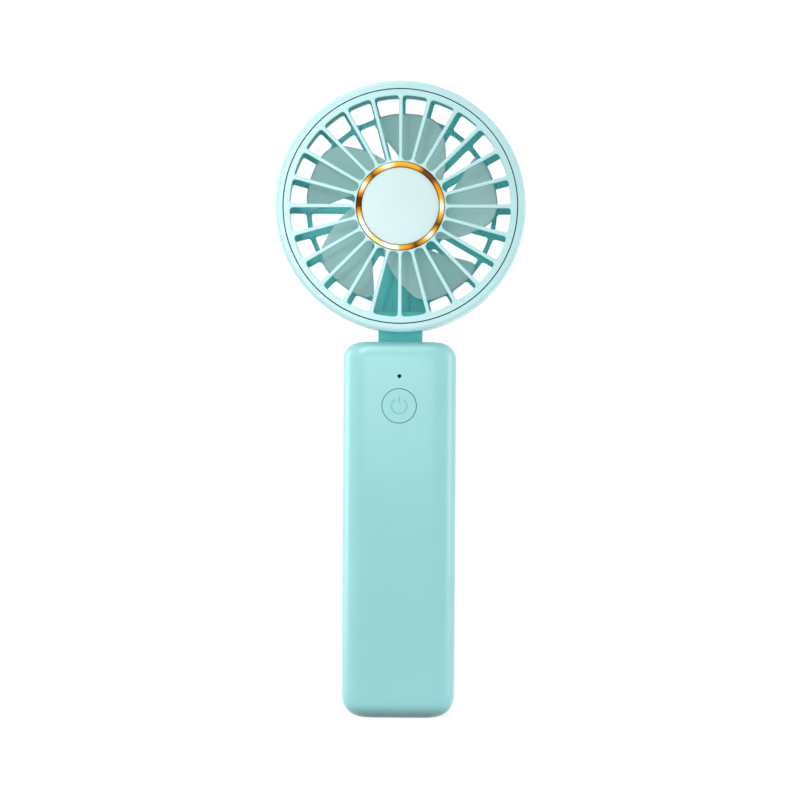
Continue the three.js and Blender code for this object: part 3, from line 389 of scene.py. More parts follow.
def metal(name, colour, roughness=0.28, streak=60):  # brushed along Z
    material, tree, shader, coords = newMaterial(name)
    stretch = addNode(tree, "ShaderNodeMapping", {"Scale": (1, 1, 12), "Vector": coords})
    lines = noise(tree, stretch.outputs[0], streak * 10, 3)
    base = ramp(tree, lines, [(0.3, shadeOf(colour, 0.86)), (0.7, shadeOf(colour, 1.08))])
    wear = spread(tree, lines, roughness - 0.07, roughness + 0.1)
    addBump(tree, shader, lines, 0.15, 0.00002)
    wire(tree, shader, {"Metallic": 1, "Base Color": base, "Roughness": wear})
    return material


spunGold = {
    "roughness": 0.5, "seat": (96, 60, 24),
    "tones": {"glint": (255, 248, 228), "pale": (240, 214, 140), "gold": (232, 164, 44),
              "amber": (212, 132, 22), "brown": (114, 62, 28), "deep": (94, 42, 12)},
    "bands": [  # degrees anticlockwise from the right: painted reflections, bright glints and dark bands painted round the ring
        (0, "glint"), (5, "pale"), (12, "gold"), (30, "amber"), (39, "brown"), (56, "brown"), (65, "gold"),
        (95, "gold"), (102, "pale"), (108, "glint"), (114, "pale"), (121, "gold"), (132, "brown"),
        (143, "gold"), (150, "glint"), (156, "pale"), (162, "amber"), (169, "deep"), (180, "deep"),
        (189, "gold"), (204, "glint"), (216, "glint"), (228, "pale"), (240, "pale"), (250, "glint"),
        (264, "glint"), (271, "gold"), (282, "amber"), (292, "deep"), (306, "gold"), (316, "glint"),
        (324, "gold"), (334, "deep"), (347, "gold"), (354, "pale")],
}


def goldFinish():  # polished gold with painted reflections: bright and dark bands painted into its colour round the ring
    material, tree, shader, coords = newMaterial("spunGold")
    size = spunGold
    centre = addNode(tree, "ShaderNodeMapping", {"Location": (0, 0, -headZ), "Vector": coords}).outputs[0]
    along = splitOf(tree, centre)
    angle = mathNode(tree, "ARCTAN2", along["Z"], along["X"])
    fullTurn = 2 * math.pi
    positive = mathNode(tree, "MODULO", mathNode(tree, "ADD", angle, fullTurn), fullTurn)
    share = mathNode(tree, "DIVIDE", positive, fullTurn)
    stops = [(degrees / 360, tint(*size["tones"][tone])) for degrees, tone in size["bands"]]
    half = len(stops) // 2  # a ramp holds 32 stops, so the round is split in two
    upper = ramp(tree, share, stops[:half + 1])
    lower = ramp(tree, share, stops[half:] + [(1, stops[0][1])])
    bands = blendTo(tree, upper, lower, mathNode(tree, "GREATER_THAN", share, stops[half][0]))
    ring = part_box("trim_ring")[1].x / mm
    # painted shade: the dark brown seat colour is painted along the ring's outer edge where the gap lies
    shade = distanceMask(tree, coords, (0, headZ / mm), ring - 0.1, ring + 0.2)
    base = blendTo(tree, bands, tint(*size["seat"]), shade)
    turning = addNode(tree, "ShaderNodeTexWave", {"Scale": 900, "Distortion": 0.4, "Vector": centre},
                      wave_type="RINGS", rings_direction="Y").outputs["Fac"]
    low = size["roughness"] - 0.05
    wear = spread(tree, turning, low, low + 0.12)
    addBump(tree, shader, turning, 0.12, 0.00001)
    wire(tree, shader, {"Metallic": 1, "Base Color": base, "Roughness": wear})
    return material


def circuitBoard():  # green lacquer over a net of fine tracks
    material, tree, shader, coords = newMaterial("circuitBoard")
    cells = addNode(tree, "ShaderNodeTexVoronoi", {"Scale": 420, "Vector": coords},
                    feature="DISTANCE_TO_EDGE")
    gap = cells.outputs["Distance"]
    base = ramp(tree, gap, [(0.03, tint(38, 128, 84)), (0.08, tint(18, 84, 52))])
    addBump(tree, shader, gap, 0.2, 0.00003)
    wire(tree, shader, {"Base Color": base, "Roughness": 0.35})
    return material


headAxis = (0, headZ / mm)
buttonR, holeR = 5.76, 5.94
buttonAxis = (0, (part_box("button_cap")[0].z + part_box("button_cap")[1].z) / 2 / mm)
gapShade = tint(2, 14, 16)
wallShade = tint(44, 164, 162)
innerTealPaintedLight, outerTealPaintedShade = tint(86, 214, 214), tint(72, 172, 170)  # deeper teal where it faces out; painted shade: this teal stands in for the shade on the rear grille and neck, and the lighter inner teal is painted light that lifts the shade on the inner faces
gripShade = tint(130, 194, 195)
footShade = ("Z", 5.4, -0.2, tint(36, 98, 100), 0.4)
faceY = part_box("front_grille")[0].y / mm
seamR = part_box("front_grille")[1].x / mm
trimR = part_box("trim_ring")[1].x / mm
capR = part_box("centre_cap")[1].x / mm
finishes = {
    "shell_pale": plastic("satinPale", tint(164, 207, 209), 0.34, gloss=0.9, seams=[
        (headAxis, seamR - 0.06, seamR + 0.24, gapShade), (headAxis, trimR - 0.04, trimR + 0.1, gapShade),
        (headAxis, 0, capR + 0.3, gapShade)],
        depths=[("Y", faceY + 0.25, faceY + 1.0, wallShade, 1)]),
    # painted shade: a near-black ring painted in the gap round the cap's edge
    "cap_pale": plastic("capPale", tint(184, 208, 209), 0.36, 0.2, 0.02, gloss=0.7,
                        seams=[(headAxis, capR - 0.04, capR + 0.3, tint(8, 12, 12))]),
    "grip_aqua": plastic("gripAqua", gripShade, 0.34, gloss=1.0, sheen=0.5, depths=[footShade], seams=[
        (buttonAxis, buttonR - 0.02, holeR, gapShade)]),
    # painted light on the rear grille's inner faces, with the deeper teal on its back as painted shade
    "housing_teal": plastic("housingTeal", innerTealPaintedLight, 0.45, depths=[("Y", 12.2, 13.6, outerTealPaintedShade, 0)]),
    "blade_teal": plastic("bladeTeal", tint(194, 234, 232), 0.42, 0.25),
    "gold_trim": goldFinish(),
    "dark_window": plastic("smokedLens", tint(5, 7, 7), 0.4, 0.05, 0.2, gloss=0.15),
    "steel": metal("brightSteel", tint(196, 198, 200), 0.26),
    "motor_iron": metal("laminatedIron", tint(112, 114, 120), 0.45, 160),
    "coil_copper": metal("enamelledCopper", tint(196, 116, 64), 0.32, 200),
    "board_green": circuitBoard(),
    "black_plastic": plastic("blackPlastic", tint(34, 35, 37), 0.5, 0.4, 0.15),
    "white_plastic": plastic("whitePlastic", tint(228, 226, 216), 0.5, 0.3, 0.02),
    "cell_sleeve": plastic("cellSleeve", tint(54, 118, 166), 0.3, 0.1, 0.05),
    "foam": plastic("openFoam", tint(64, 66, 68), 0.95, 1.0, 0.25),
    "lead_red": plastic("redSleeve", tint(186, 44, 36), 0.5, 0.2, 0.08),
    "lead_black": plastic("blackSleeve", tint(30, 30, 31), 0.5, 0.2, 0.15),
}
ringFinish = plastic("ringPale", tint(164, 207, 209), 0.34, gloss=0.9, sheen=0.3, seams=[
    (headAxis, seamR - 0.06, seamR + 0.24, gapShade), (headAxis, 30, seamR - 0.1, wallShade)])
rearGripFinish = plastic("gripAquaRear", gripShade, 0.34, gloss=1.0, sheen=0.5, depths=[footShade])
# painted light: the neck's front gets the lighter teal against the shade under the head, with the deeper teal
# behind as painted shade
neckFinish = plastic("neckTeal", innerTealPaintedLight, 0.45, depths=[("Y", -2, 7, outerTealPaintedShade, 0)])
slotOf = {part["node"]: part["material_slot"] for part in frame["record"]["subparts"]}
for nodeName, node in frame["nodes"].items():
    node.data.materials.clear()
    node.data.materials.append(finishes[slotOf[nodeName]])
print("materials:", len(finishes))


# the two grilles: one sector drawn flat, then repeated round the axis

def arcPoints(radius, start, end, steps):
    return [polar(radius, start + (end - start) * i / steps) for i in range(steps + 1)]


def offsetLoop(loop, distance):  # moves a smooth closed loop outwards
    moved = []
    for before, point, after in zip(loop[-1:] + loop[:-1], loop, loop[1:] + loop[:1]):
        along = (after - before).normalized()
        moved.append(point + Vector((along.y, -along.x)) * distance)
    return moved


def openingLoop(inner, outer, pitch, ribInner, ribOuter, roundInner, roundOuter, steps):
    # outline of an opening between two ribs, anticlockwise, from radius inner to outer
    outerHalf = pitch / 2 - math.asin(ribOuter / 2 / outer)
    innerHalf = pitch / 2 - math.asin(ribInner / 2 / inner)
    corners = [(*polar(inner, -innerHalf), roundInner), (*polar(outer, -outerHalf), roundOuter)]
    inset = 1.6 * roundOuter / outer
    for i in range(steps + 1):
        angle = -outerHalf + inset + (2 * outerHalf - 2 * inset) * i / steps
        corners.append((*polar(outer, angle), 0))
    corners += [(*polar(outer, outerHalf), roundOuter), (*polar(inner, innerHalf), roundInner)]
    return fillet(corners, 5)


def sectorBmesh(pitch, outerRows, innerRows, openings, edgeRound, front, back, arcSteps):
    # rows are (radius, height) from the front face over the rim to the back face
    bm = bmesh.new()

    def ringRows(rows):
        made = []
        for radius, height in rows:
            arc = arcPoints(radius, -pitch / 2, pitch / 2, arcSteps)
            made.append([bm.verts.new((*p, height)) for p in arc])
        for row, after in zip(made, made[1:]):
            for i in range(arcSteps):
                bm.faces.new((row[i], row[i + 1], after[i + 1], after[i]))
        return made[0], made[-1]

    outerFront, outerBack = ringRows(outerRows)
    innerFront, innerBack = ringRows(innerRows)
    holeFronts, holeBacks = [], []
    turns = [math.pi / 2 * i / 4 for i in range(5)]
    rounding = [(edgeRound * (1 - math.sin(turn)), edgeRound * (1 - math.cos(turn))) for turn in turns]
    for loop in openings:
        rows = [(inset, front - drop) for inset, drop in rounding]
        rows += [(inset, back + drop) for inset, drop in reversed(rounding)]
        made = []
        for distance, height in rows:
            made.append([bm.verts.new((*p, height)) for p in offsetLoop(loop, distance)])
        for row, after in zip(made, made[1:]):
            for i in range(len(row)):
                j = (i + 1) % len(row)
                bm.faces.new((row[i], row[j], after[j], after[i]))
        holeFronts.append(made[0])
        holeBacks.append(made[-1])

    def fill(outerRow, innerRow, holes):
        edges = []
        sides = [(innerRow[0], outerRow[0]), (innerRow[-1], outerRow[-1])]
        for start, end in sides:
            chain = [start]
            for i in range(1, 5):
                chain.append(bm.verts.new(start.co.lerp(end.co, i / 5)))
            chain.append(end)
            edges += [bm.edges.new(pair) for pair in zip(chain, chain[1:])]
        for row in (outerRow, innerRow):
            edges += [bm.edges.get(pair) for pair in zip(row, row[1:])]
        for hole in holes:
            edges += [bm.edges.get(pair) for pair in zip(hole, hole[1:] + hole[:1])]
        bmesh.ops.triangle_fill(bm, use_beauty=True, use_dissolve=False, edges=edges)

    fill(outerFront, innerFront, holeFronts)
    fill(outerBack, innerBack, holeBacks)
    return bm


def edgeArc(radius, height, size, direction, steps=4):  # quarter round from a flat face over an edge
    turns = [math.pi / 2 * i / steps for i in range(steps + 1)]
    return [(radius - direction * size * (1 - math.sin(turn)), height - size * (1 - math.cos(turn)))
            for turn in turns]


radial = radialTree()
noneClosed = {"Closed from": -2, "Closed to": -3}  # a range that holds no sector
joinDistance = 0.002 * mm
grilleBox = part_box("front_grille")
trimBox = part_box("trim_ring")
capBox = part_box("centre_cap")
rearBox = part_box("rear_grille")

frontGrilleSizes = {
    "spokes": 24, "rim": grilleBox[1].x / mm, "slotOuter": 37.45, "slotInner": 15.6,
    "spokeOuter": 1.35, "spokeInner": 1.15, "plate": 2.4, "skirt": 1.3, "edge": 0.32, "rimEdge": 0.12,
    "cornerOuter": 1.3, "cornerInner": 1.5, "pocketDepth": 1.6, "pocketGap": 0.1, "pocketEdge": 0.15,
    "bossBehind": 1, "bossRound": 0.8,
}


def makeFrontGrille():
    size = frontGrilleSizes
    pitch = 2 * math.pi / size["spokes"]
    front = -grilleBox[0].y / mm
    back = front - size["plate"]
    skirtEnd = -grilleBox[1].y / mm
    rim = size["rim"]
    pocket = trimBox[1].x / mm + size["pocketGap"]
    slot = openingLoop(size["slotInner"], size["slotOuter"], pitch, size["spokeInner"], size["spokeOuter"],
                       size["cornerInner"], size["cornerOuter"], 6)
    outerRows = edgeArc(rim, front, size["rimEdge"], 1)
    outerRows += [(rim, skirtEnd), (rim - size["skirt"], skirtEnd), (rim - size["skirt"], back)]
    innerRows = edgeArc(pocket, front, size["pocketEdge"], -1) + [(pocket, back)]
    bm = sectorBmesh(pitch, outerRows, innerRows, [slot], size["edge"], front, back, 6)
    bm.transform(Matrix.Rotation(pitch / 2, 4, "Z"))
    piece = fromBmesh("frontGrille", bm)
    runTree(piece, radial, {"Count": size["spokes"], "Join distance": joinDistance, **noneClosed,
                            "Finish": finishes["shell_pale"]})
    floor, bossBack = front - size["pocketDepth"], back - size["bossBehind"]
    boss = fromBmesh("boss", spin(fillet([
        (0, floor, 0), (pocket, floor, 0), (pocket, bossBack, size["bossRound"]), (0, bossBack, 0)])))
    join([piece, boss])
    piece.data.transform(headPlace)
    recalc(piece)
    smooth(piece, 40)
    finishPiece(piece, "housing", "shell_pale", ["front_grille"])


def join(pieces):  # the first piece takes in the others
    bm = bmesh.new()
    for piece in pieces:
        bm.from_mesh(piece.data)
    bm.to_mesh(pieces[0].data)
    bm.free()
    for piece in pieces[1:]:
        bpy.data.objects.remove(piece)
    return pieces[0]


def recalc(piece):
    bm = bmesh.new()
    bm.from_mesh(piece.data)
    bmesh.ops.recalc_face_normals(bm, faces=bm.faces)
    bm.to_mesh(piece.data)
    bm.free()


rearGrilleSizes = {
    "ribs": 24, "rib": 2.2, "windowOuter": 39, "midOuter": 33.2, "midInner": 31.4, "hub": 17.2,
    "corner": 1.0, "plate": 3, "edge": 0.4, "frontEdge": 0.2, "webFrom": 17, "webTo": 18, "bore": 4.2,
    "sleeveInner": 3.05, "sleeveOuter": 4, "screwHole": 2, "groove": 3.4, "grooveDepth": 2, "grooveEnd": 0.3,
    "seatGap": 0.04,
}


def makeRearGrille():
    size = rearGrilleSizes
    pitch = 2 * math.pi / size["ribs"]
    back = -rearBox[1].y / mm
    front = back + size["plate"]
    rim = rearBox[1].x / mm
    windows = [openingLoop(start, end, pitch, size["rib"], size["rib"], size["corner"], size["corner"], 5)
               for start, end in ((size["hub"], size["midInner"]), (size["midOuter"], size["windowOuter"]))]
    backEdge = [(radius, back + front - height) for radius, height in edgeArc(rim, front, size["edge"], 1)]
    outerRows = edgeArc(rim, front, size["frontEdge"], 1) + backEdge[::-1]
    innerRows = [(size["bore"], front), (size["bore"], back)]
    sectors = []
    for openings in (windows, []):
        bm = sectorBmesh(pitch, outerRows, innerRows, openings, size["edge"], front, back, 6)
        bm.transform(Matrix.Rotation(pitch / 2, 4, "Z"))
        sectors.append(fromBmesh("rearGrille", bm))
    piece, web = sectors
    runTree(piece, radial, {"Count": size["ribs"], "Closed from": size["webFrom"], "Closed to": size["webTo"],
                            "Closed sector": web, "Join distance": joinDistance,
                            "Finish": finishes["housing_teal"]})
    bpy.data.objects.remove(web)
    tube, tubeBore, tubeFront = size["sleeveOuter"], size["sleeveInner"], -rearBox[0].y / mm
    sleeve = fromBmesh("sleeve", spin(fillet([
        (tubeBore, back + 1, 0), (size["bore"], back + 1, 0), (size["bore"], front + 0.6, 0),
        (tube, front + 1.2, 0.2), (tube, tubeFront, 0.3), (tubeBore, tubeFront, 0.1)])))
    join([piece, sleeve])
    piece.data.transform(headPlace)
    recalc(piece)
    low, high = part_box("neck_screw_left")
    screwX, screwZ = (low.x + high.x) / 2 / mm, (low.z + high.z) / 2 / mm
    cutters = [barAlongY("hole", size["screwHole"], -back - 1.5, -back + 1, side * screwX, screwZ)
               for side in (-1, 1)]
    low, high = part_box("lead_cover")
    groove, gap, end, ahead = size["groove"] / 2, size["seatGap"], size["grooveEnd"], -front - 0.5
    cutters.append(boxPiece("groove", (-groove, ahead, low.z / mm + end),
                            (groove, -front + size["grooveDepth"], high.z / mm - end)))
    cutters.append(boxPiece("seat", (low.x / mm - gap, ahead, low.z / mm - gap),
                            [side / mm + gap for side in high]))
    carve(piece, cutters)
    smooth(piece, 40)
    finishPiece(piece, "housing", "housing_teal", ["rear_grille"])


makeFrontGrille()
makeRearGrille()
print("grilles done")


# head ring, gold ring and centre cap

headRingSizes = {
    "rimRound": 2.1, "innerEdge": 0.12, "stepRound": 0.1, "bore": 39.9, "wall": 39.2, "seat": 38.5,
    "seatDepth": 5.1, "seatLength": 1.3, "rearSeat": 40.7, "rearDepth": 3.1, "openingFrom": -5,
    "openingTo": 8,
}


neckSizes = {"width": 15, "rear": 8, "gap": 0.1}


def neckCutter(bottom, top):  # the neck's section with its clearance
    half, gap = neckSizes["width"] / 2, neckSizes["gap"]
    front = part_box("neck")[0].y / mm
    return boxPiece("opening", (-half - gap, front - gap, bottom), (half + gap, neckSizes["rear"] + gap, top))


def makeHeadRing():
    size = headRingSizes
    front = -ringLow.y / mm
    back = -ringHigh.y / mm
    outer = ringHigh.x / mm
    seat = front - size["seatDepth"]
    rear = back + size["rearDepth"]
    seatEnd, step = seat - size["seatLength"], size["stepRound"]
    outline = fillet([
        (size["bore"], front, size["innerEdge"]),
        (outer, front, size["rimRound"]),
        (outer, back, size["rimRound"]),
        (size["rearSeat"], back, size["innerEdge"]),
        (size["rearSeat"], rear, 0),
        (size["wall"], rear, step),
        (size["wall"], seatEnd, step),
        (size["seat"], seatEnd, step),
        (size["seat"], seat, step),
        (size["bore"], seat, 0),
    ], 8)
    piece = fromBmesh("headRing", spin(outline, 240), headPlace)
    foot = ringLow.z / mm
    carve(piece, [neckCutter(foot + size["openingFrom"], foot + size["openingTo"])])
    smooth(piece, 40)
    finishPiece(piece, "housing", "shell_pale", ["head_ring"], ringFinish)


trimSizes = {"inner": 13.3, "outerBevel": (0.4, 0.25), "innerBevel": (0.3, 0.4), "lean": 0.06, "round": 0.12}


def depthsOf(box):  # a box's outer radius and its front and back, as drawn lying down
    low, high = box
    return high.x / mm, -low.y / mm, -high.y / mm


def makeTrim():
    size = trimSizes
    outer, front, back = depthsOf(trimBox)
    inner, soft = size["inner"], size["round"]
    (outerIn, outerDown), (innerIn, innerDown) = size["outerBevel"], size["innerBevel"]
    outline = fillet([
        (inner, back, 0), (outer, back, 0), (outer, front - outerDown, soft), (outer - outerIn, front, 0.2),
        (inner + innerIn, front - size["lean"], 0.15), (inner, front - innerDown, soft)], 5)
    piece = fromBmesh("trimRing", spin(outline, 240), headPlace)
    smooth(piece, 60)
    finishPiece(piece, "housing", "gold_trim", ["trim_ring"])


capSizes = {"dome": 0.05, "edgeDown": 0.12, "round": 0.25, "rows": 12}


def makeCap():
    size = capSizes
    outer, front, back = depthsOf(capBox)
    shares = [i / size["rows"] for i in range(1, size["rows"])]
    dome = [(outer * (1 - share), front - size["dome"] * (1 - share ** 2), 0) for share in shares]
    outline = fillet([(0, back, 0), (outer, back, 0), (outer, front - size["edgeDown"], size["round"]), *dome,
                      (0, front, 0)], 5)
    piece = fromBmesh("centreCap", spin(outline, 200), headPlace)
    smooth(piece, 40)
    finishPiece(piece, "housing", "cap_pale", ["centre_cap"])


makeHeadRing()
makeTrim()
makeCap()
print("ring, trim and cap done")


# impeller: one blade drawn, five placed

impellerSizes = {
    "blades": 5, "tip": 33.7, "depth": 6.4, "thickness": 1.0, "rearGap": 1.55, "across": 22, "along": 18,
    "crown": 0.45, "edges": ((18.7, -33.2, 2.35, -0.031), (18.9, 21.7, 1.916, -0.0588)),
    "tipRound": 2.4, "tipPower": 7, "rootInset": 0.5, "hub": 14.6, "hubWall": 1.5, "hubTop": 1.8,
    "hubGap": 1.1, "socket": 2.6, "socketDepth": 2.6,
}


def bladeEdges(radius):  # angles of the two long edges at a radius, in degrees, seen from the front
    for start, angle, slope, bend in impellerSizes["edges"]:
        yield angle + slope * (radius - start) + bend * (radius - start) ** 2


def makeImpeller():
    size = impellerSizes
    hubFront = -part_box("impeller")[0].y / mm
    plateFront = -rearBox[1].y / mm + rearGrilleSizes["plate"]
    middle = plateFront + size["rearGap"] + size["depth"] / 2
    bm = bmesh.new()
    rows = []
    root = size["hub"] - size["rootInset"]
    for i in range(size["along"] + 1):
        row = []
        for j in range(size["across"] + 1):
            u = j / size["across"]
            tip = size["tip"] - 0.4 - size["tipRound"] * abs(2 * u - 1) ** size["tipPower"]
            radius = root + (tip - root) * i / size["along"]
            start, end = bladeEdges(radius)
            height = middle + size["depth"] * (0.5 - u) + size["crown"] * (1 - (2 * u - 1) ** 2)
            row.append(bm.verts.new((*polar(radius, math.radians(start + (end - start) * u)), height)))
        rows.append(row)
    for row, after in zip(rows, rows[1:]):
        for i in range(size["across"]):
            bm.faces.new((row[i], row[i + 1], after[i + 1], after[i]))
    piece = fromBmesh("impellerWheel", bm)
    solidify = piece.modifiers.new("wall", "SOLIDIFY")
    solidify.thickness = size["thickness"] * mm
    solidify.offset = 0
    soften = piece.modifiers.new("soft", "SUBSURF")
    soften.levels = soften.render_levels = 1
    settle(piece)
    recalc(piece)
    runTree(piece, radial, {"Count": size["blades"], "Join distance": 0.0, **noneClosed,
                            "Finish": finishes["blade_teal"]})
    hub, inside, socket = size["hub"], size["hub"] - size["hubWall"], size["socket"]
    roof, end = hubFront - size["hubTop"], hubFront - size["socketDepth"]
    hubBack = plateFront + size["hubGap"]
    outline = fillet([(0, hubFront, 0), (hub, hubFront, 1.6), (hub, hubBack, 0.3), (inside, hubBack, 0.2),
                      (inside, roof, 0.5), (socket, roof, 0.3), (socket, end, 0.2), (0, end, 0)])
    hubPiece = fromBmesh("hub", spin(outline, 128))
    join([piece, hubPiece])
    piece.data.transform(headPlace)
    smooth(piece, 50)
    finishPiece(piece, "rotor", "blade_teal", ["impeller"])


makeImpeller()
print("impeller done")


# grip

gripSizes = {
    "wall": 1.8, "corner": 8.5, "split": 3, "splitGap": 0.1, "baseX": 8.3, "baseY": 6, "baseZ": 8.2,
    "topX": 7.7, "topY": 5.4, "topZ": 6.1, "power": 2.3, "seam": 0.08, "rows": 24, "across": 12,
    "crown": 0.02, "lensHole": 0.68, "screwBore": 2.1, "screwDepth": 5, "mouthGap": 0.5, "mouthDepth": 4,
}


def drawnIn(distance, length, depth):  # how far a rounded end has drawn in at a distance from it
    if distance >= length:
        return 0
    rest = 1 - max(distance, 0) / length
    power = gripSizes["power"]
    return depth * (1 - (1 - rest ** power) ** (1 / power))


def gripBar(name, inset, steps, endRows):
    size = gripSizes
    height = gripHigh.z / mm
    halfWidth, halfDepth = gripHigh.x / mm, gripHigh.y / mm
    low, high = inset, height - inset
    bend = [1 - math.cos(math.pi / 2 * i / endRows) for i in range(endRows)]
    straight = height - size["topZ"] - size["baseZ"]
    levels = [low + (size["baseZ"] - inset) * share for share in bend]
    levels += [size["baseZ"] + straight * i / size["rows"] for i in range(size["rows"] + 1)]
    levels += [high - (size["topZ"] - inset) * share for share in reversed(bend)]
    bm = bmesh.new()
    rings = []
    for z in levels:
        pulls = []
        for base, top in (("baseX", "topX"), ("baseY", "topY")):
            pulls.append(drawnIn(z - low, size["baseZ"] - inset, size[base] - inset)
                         + drawnIn(high - z, size["topZ"] - inset, size[top] - inset))
        width, depth = halfWidth - inset - pulls[0], halfDepth - inset - pulls[1]
        corner = size["corner"] - inset - 0.85 * pulls[1]
        outline = []
        for quarter in range(4):
            sx = 1 if quarter in (0, 3) else -1
            sy = 1 if quarter < 2 else -1
            for i in range(steps + 1):
                turn = (quarter + i / steps) * math.pi / 2
                x = abs(math.cos(turn)) ** (2 / size["power"])
                y = abs(math.sin(turn)) ** (2 / size["power"])
                outline.append((sx * (width - corner + corner * x), sy * (depth - corner + corner * y)))
            if quarter in (0, 2):  # more points across the broad faces, which are slightly crowned
                shares = [1 - 2 * i / size["across"] for i in range(1, size["across"])]
                outline += [(sx * (width - corner) * share, sy * depth) for share in shares]
        crown = size["crown"]
        rings.append([bm.verts.new((x, y * (1 - crown * (x / halfWidth) ** 2), z)) for x, y in outline])
    for ring, after in zip(rings, rings[1:]):
        for i in range(len(ring)):
            j = (i + 1) % len(ring)
            bm.faces.new((ring[i], ring[j], after[j], after[i]))
    bm.faces.new(rings[0][::-1])
    bm.faces.new(rings[-1])
    return fromBmesh(name, bm)


def stadiumCutter(name, width, height, start, end, z):
    radius = height / 2
    bm = bmesh.new()
    outline = [Vector((width / 2 - radius, 0)) + polar(radius, math.radians(-90 + 12 * i)) for i in range(16)]
    outline += [Vector((radius - width / 2, 0)) + polar(radius, math.radians(90 + 12 * i)) for i in range(16)]
    layers = [[bm.verts.new((p.x, y, z + p.y)) for p in outline] for y in (start, end)]
    for i in range(len(outline)):
        j = (i + 1) % len(outline)
        bm.faces.new((layers[0][i], layers[0][j], layers[1][j], layers[1][i]))
    bm.faces.new(layers[0])
    bm.faces.new(layers[1][::-1])
    return fromBmesh(name, bm)


def makeGripHalf(name, node, front):
    size = gripSizes
    halfDepth = gripHigh.y / mm
    top = gripHigh.z / mm
    piece = gripBar(name, 0, 14, 18)
    big, below = 300, -10  # mm, well past the fan
    away = (-big, -big, below), (big, size["split"] + size["splitGap"], big)
    if front:
        away = (-big, size["split"], below), (big, big, big)
    cutters = [
        gripBar("hollow", size["wall"], 8, 6),
        boxPiece("half", *away),
        neckCutter(top - 8, top + 5),
    ]
    if front:
        for inside, radius, segments in (("button_cap", holeR, 96), ("light_pipe", size["lensHole"], 32)):
            cutters.append(barAlongY("frontHole", radius, -halfDepth - 1, -halfDepth + 4, 0,
                                     boxMiddle(inside).z, segments))
    else:
        low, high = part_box("charge_socket")
        width, height = [side / mm + size["mouthGap"] for side in (high.x - low.x, high.z - low.z)]
        cutters.append(stadiumCutter("mouth", width, height, halfDepth - size["mouthDepth"], halfDepth + 1,
                                     boxMiddle("charge_socket").z))
        for screw in shellScrews:
            place = boxMiddle(screw)
            cutters.append(barAlongY("screwBore", size["screwBore"], halfDepth - size["screwDepth"],
                                     halfDepth + 1, place.x, place.z, 40))
    carve(piece, cutters)
    smooth(piece, 35, size["seam"])
    finishPiece(piece, "housing", "grip_aqua", [node], None if front else rearGripFinish)


shellScrews = [f"shell_screw_{i + 1}" for i in range(4)]
makeGripHalf("gripFront", "handle_front_shell", True)
makeGripHalf("gripRear", "handle_rear_shell", False)
print("grip done")


# button, its sign, and the lens over the light

buttonSizes = {
    "radius": buttonR, "edge": 0.12, "dish": 0.05, "flangeFrom": 1.9, "flangeTo": 2.7, "pin": 1.5,
    "signRadius": 2.62, "signLine": 0.46, "signGap": 64, "signBar": 2.1, "signRise": 0.55, "signSunk": 0.2,
    "signProud": 0.012,
}


def makeButton():
    size = buttonSizes
    flange, front, back = depthsOf(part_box("button_cap"))
    place = facingFront(boxMiddle("button_cap").z * mm)
    flangeTop, flangeEnd = front - size["flangeFrom"], front - size["flangeTo"]
    outline = fillet([
        (0, back, 0), (size["pin"], back, 0.1), (size["pin"], flangeEnd, 0), (flange, flangeEnd, 0.1),
        (flange, flangeTop, 0.1), (size["radius"], flangeTop, 0), (size["radius"], front, size["edge"]),
        (size["radius"] * 0.6, front - size["dish"] * 0.6, 0), (0, front - size["dish"], 0)], 6)
    piece = fromBmesh("buttonCap", spin(outline, 128), place)
    smooth(piece, 40)
    finishPiece(piece, "button", "grip_aqua", ["button_cap"])
    bar = size["signLine"] / 2
    gap = math.radians(size["signGap"] / 2)
    start, end = math.pi / 2 + gap, math.pi / 2 + 2 * math.pi - gap
    reach = size["signRadius"] + size["signRise"]
    arcs = [arcPoints(size["signRadius"] + side, start, end, 48) for side in (bar, -bar)]
    lines = [[Vector((side, reach)), Vector((side, reach - size["signBar"]))] for side in (-bar, bar)]
    bm = bmesh.new()
    for first, second in (arcs, lines):
        layers = []
        for height in (front - size["signSunk"], front + size["signProud"]):
            layers.append([[bm.verts.new((*p, height)) for p in line] for line in (first, second)])
        count = len(first)
        for i in range(count - 1):
            for level, flip in ((0, 1), (1, -1)):
                a, b = layers[level]
                bm.faces.new((a[i], a[i + 1], b[i + 1], b[i])[::flip])
            for under, over in zip(*layers):
                bm.faces.new((under[i], under[i + 1], over[i + 1], over[i]))
        for i in (0, count - 1):
            bm.faces.new((layers[0][0][i], layers[0][1][i], layers[1][1][i], layers[1][0][i]))
    sign = fromBmesh("powerSign", bm, place)
    smooth(sign, 40)
    finishPiece(sign, "button", "grip_aqua", material=signFinish)


lensSizes = {"radius": 0.6, "flange": 1.3, "flangeFrom": 1.9, "flangeTo": 2.9, "edgeDown": 0.05}


def makeLens():
    size = lensSizes
    low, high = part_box("light_pipe")
    front, back = -low.y / mm, -high.y / mm
    pipe, flange = size["radius"], size["flange"]
    flangeTop, flangeEnd = front - size["flangeFrom"], front - size["flangeTo"]
    outline = fillet([
        (0, back, 0), (pipe, back, 0), (pipe, flangeEnd, 0), (flange, flangeEnd, 0.1),
        (flange, flangeTop, 0.1), (pipe, flangeTop, 0), (pipe, front - size["edgeDown"], 0.15),
        (pipe / 2, front - 0.01, 0), (0, front, 0)])
    piece = fromBmesh("statusLens", spin(outline, 40), facingFront((low.z + high.z) / 2))
    smooth(piece, 50)
    finishPiece(piece, "housing", "dark_window", ["light_pipe"])


signFinish = plastic("signPrint", tint(112, 176, 178), 0.45)
makeButton()
makeLens()
print("button and lens done")


# screws, neck and the small pieces at the back

screwSizes = {
    "head": 1.9, "flat": 0.72, "brim": 0.45, "depth": 1.4, "shank": 0.95, "thread": 0.18, "pitch": 0.8,
    "cross": 0.5, "crossLength": 2.3, "crossDepth": 0.8, "shellLength": 13.2, "neckLength": 9.2,
}


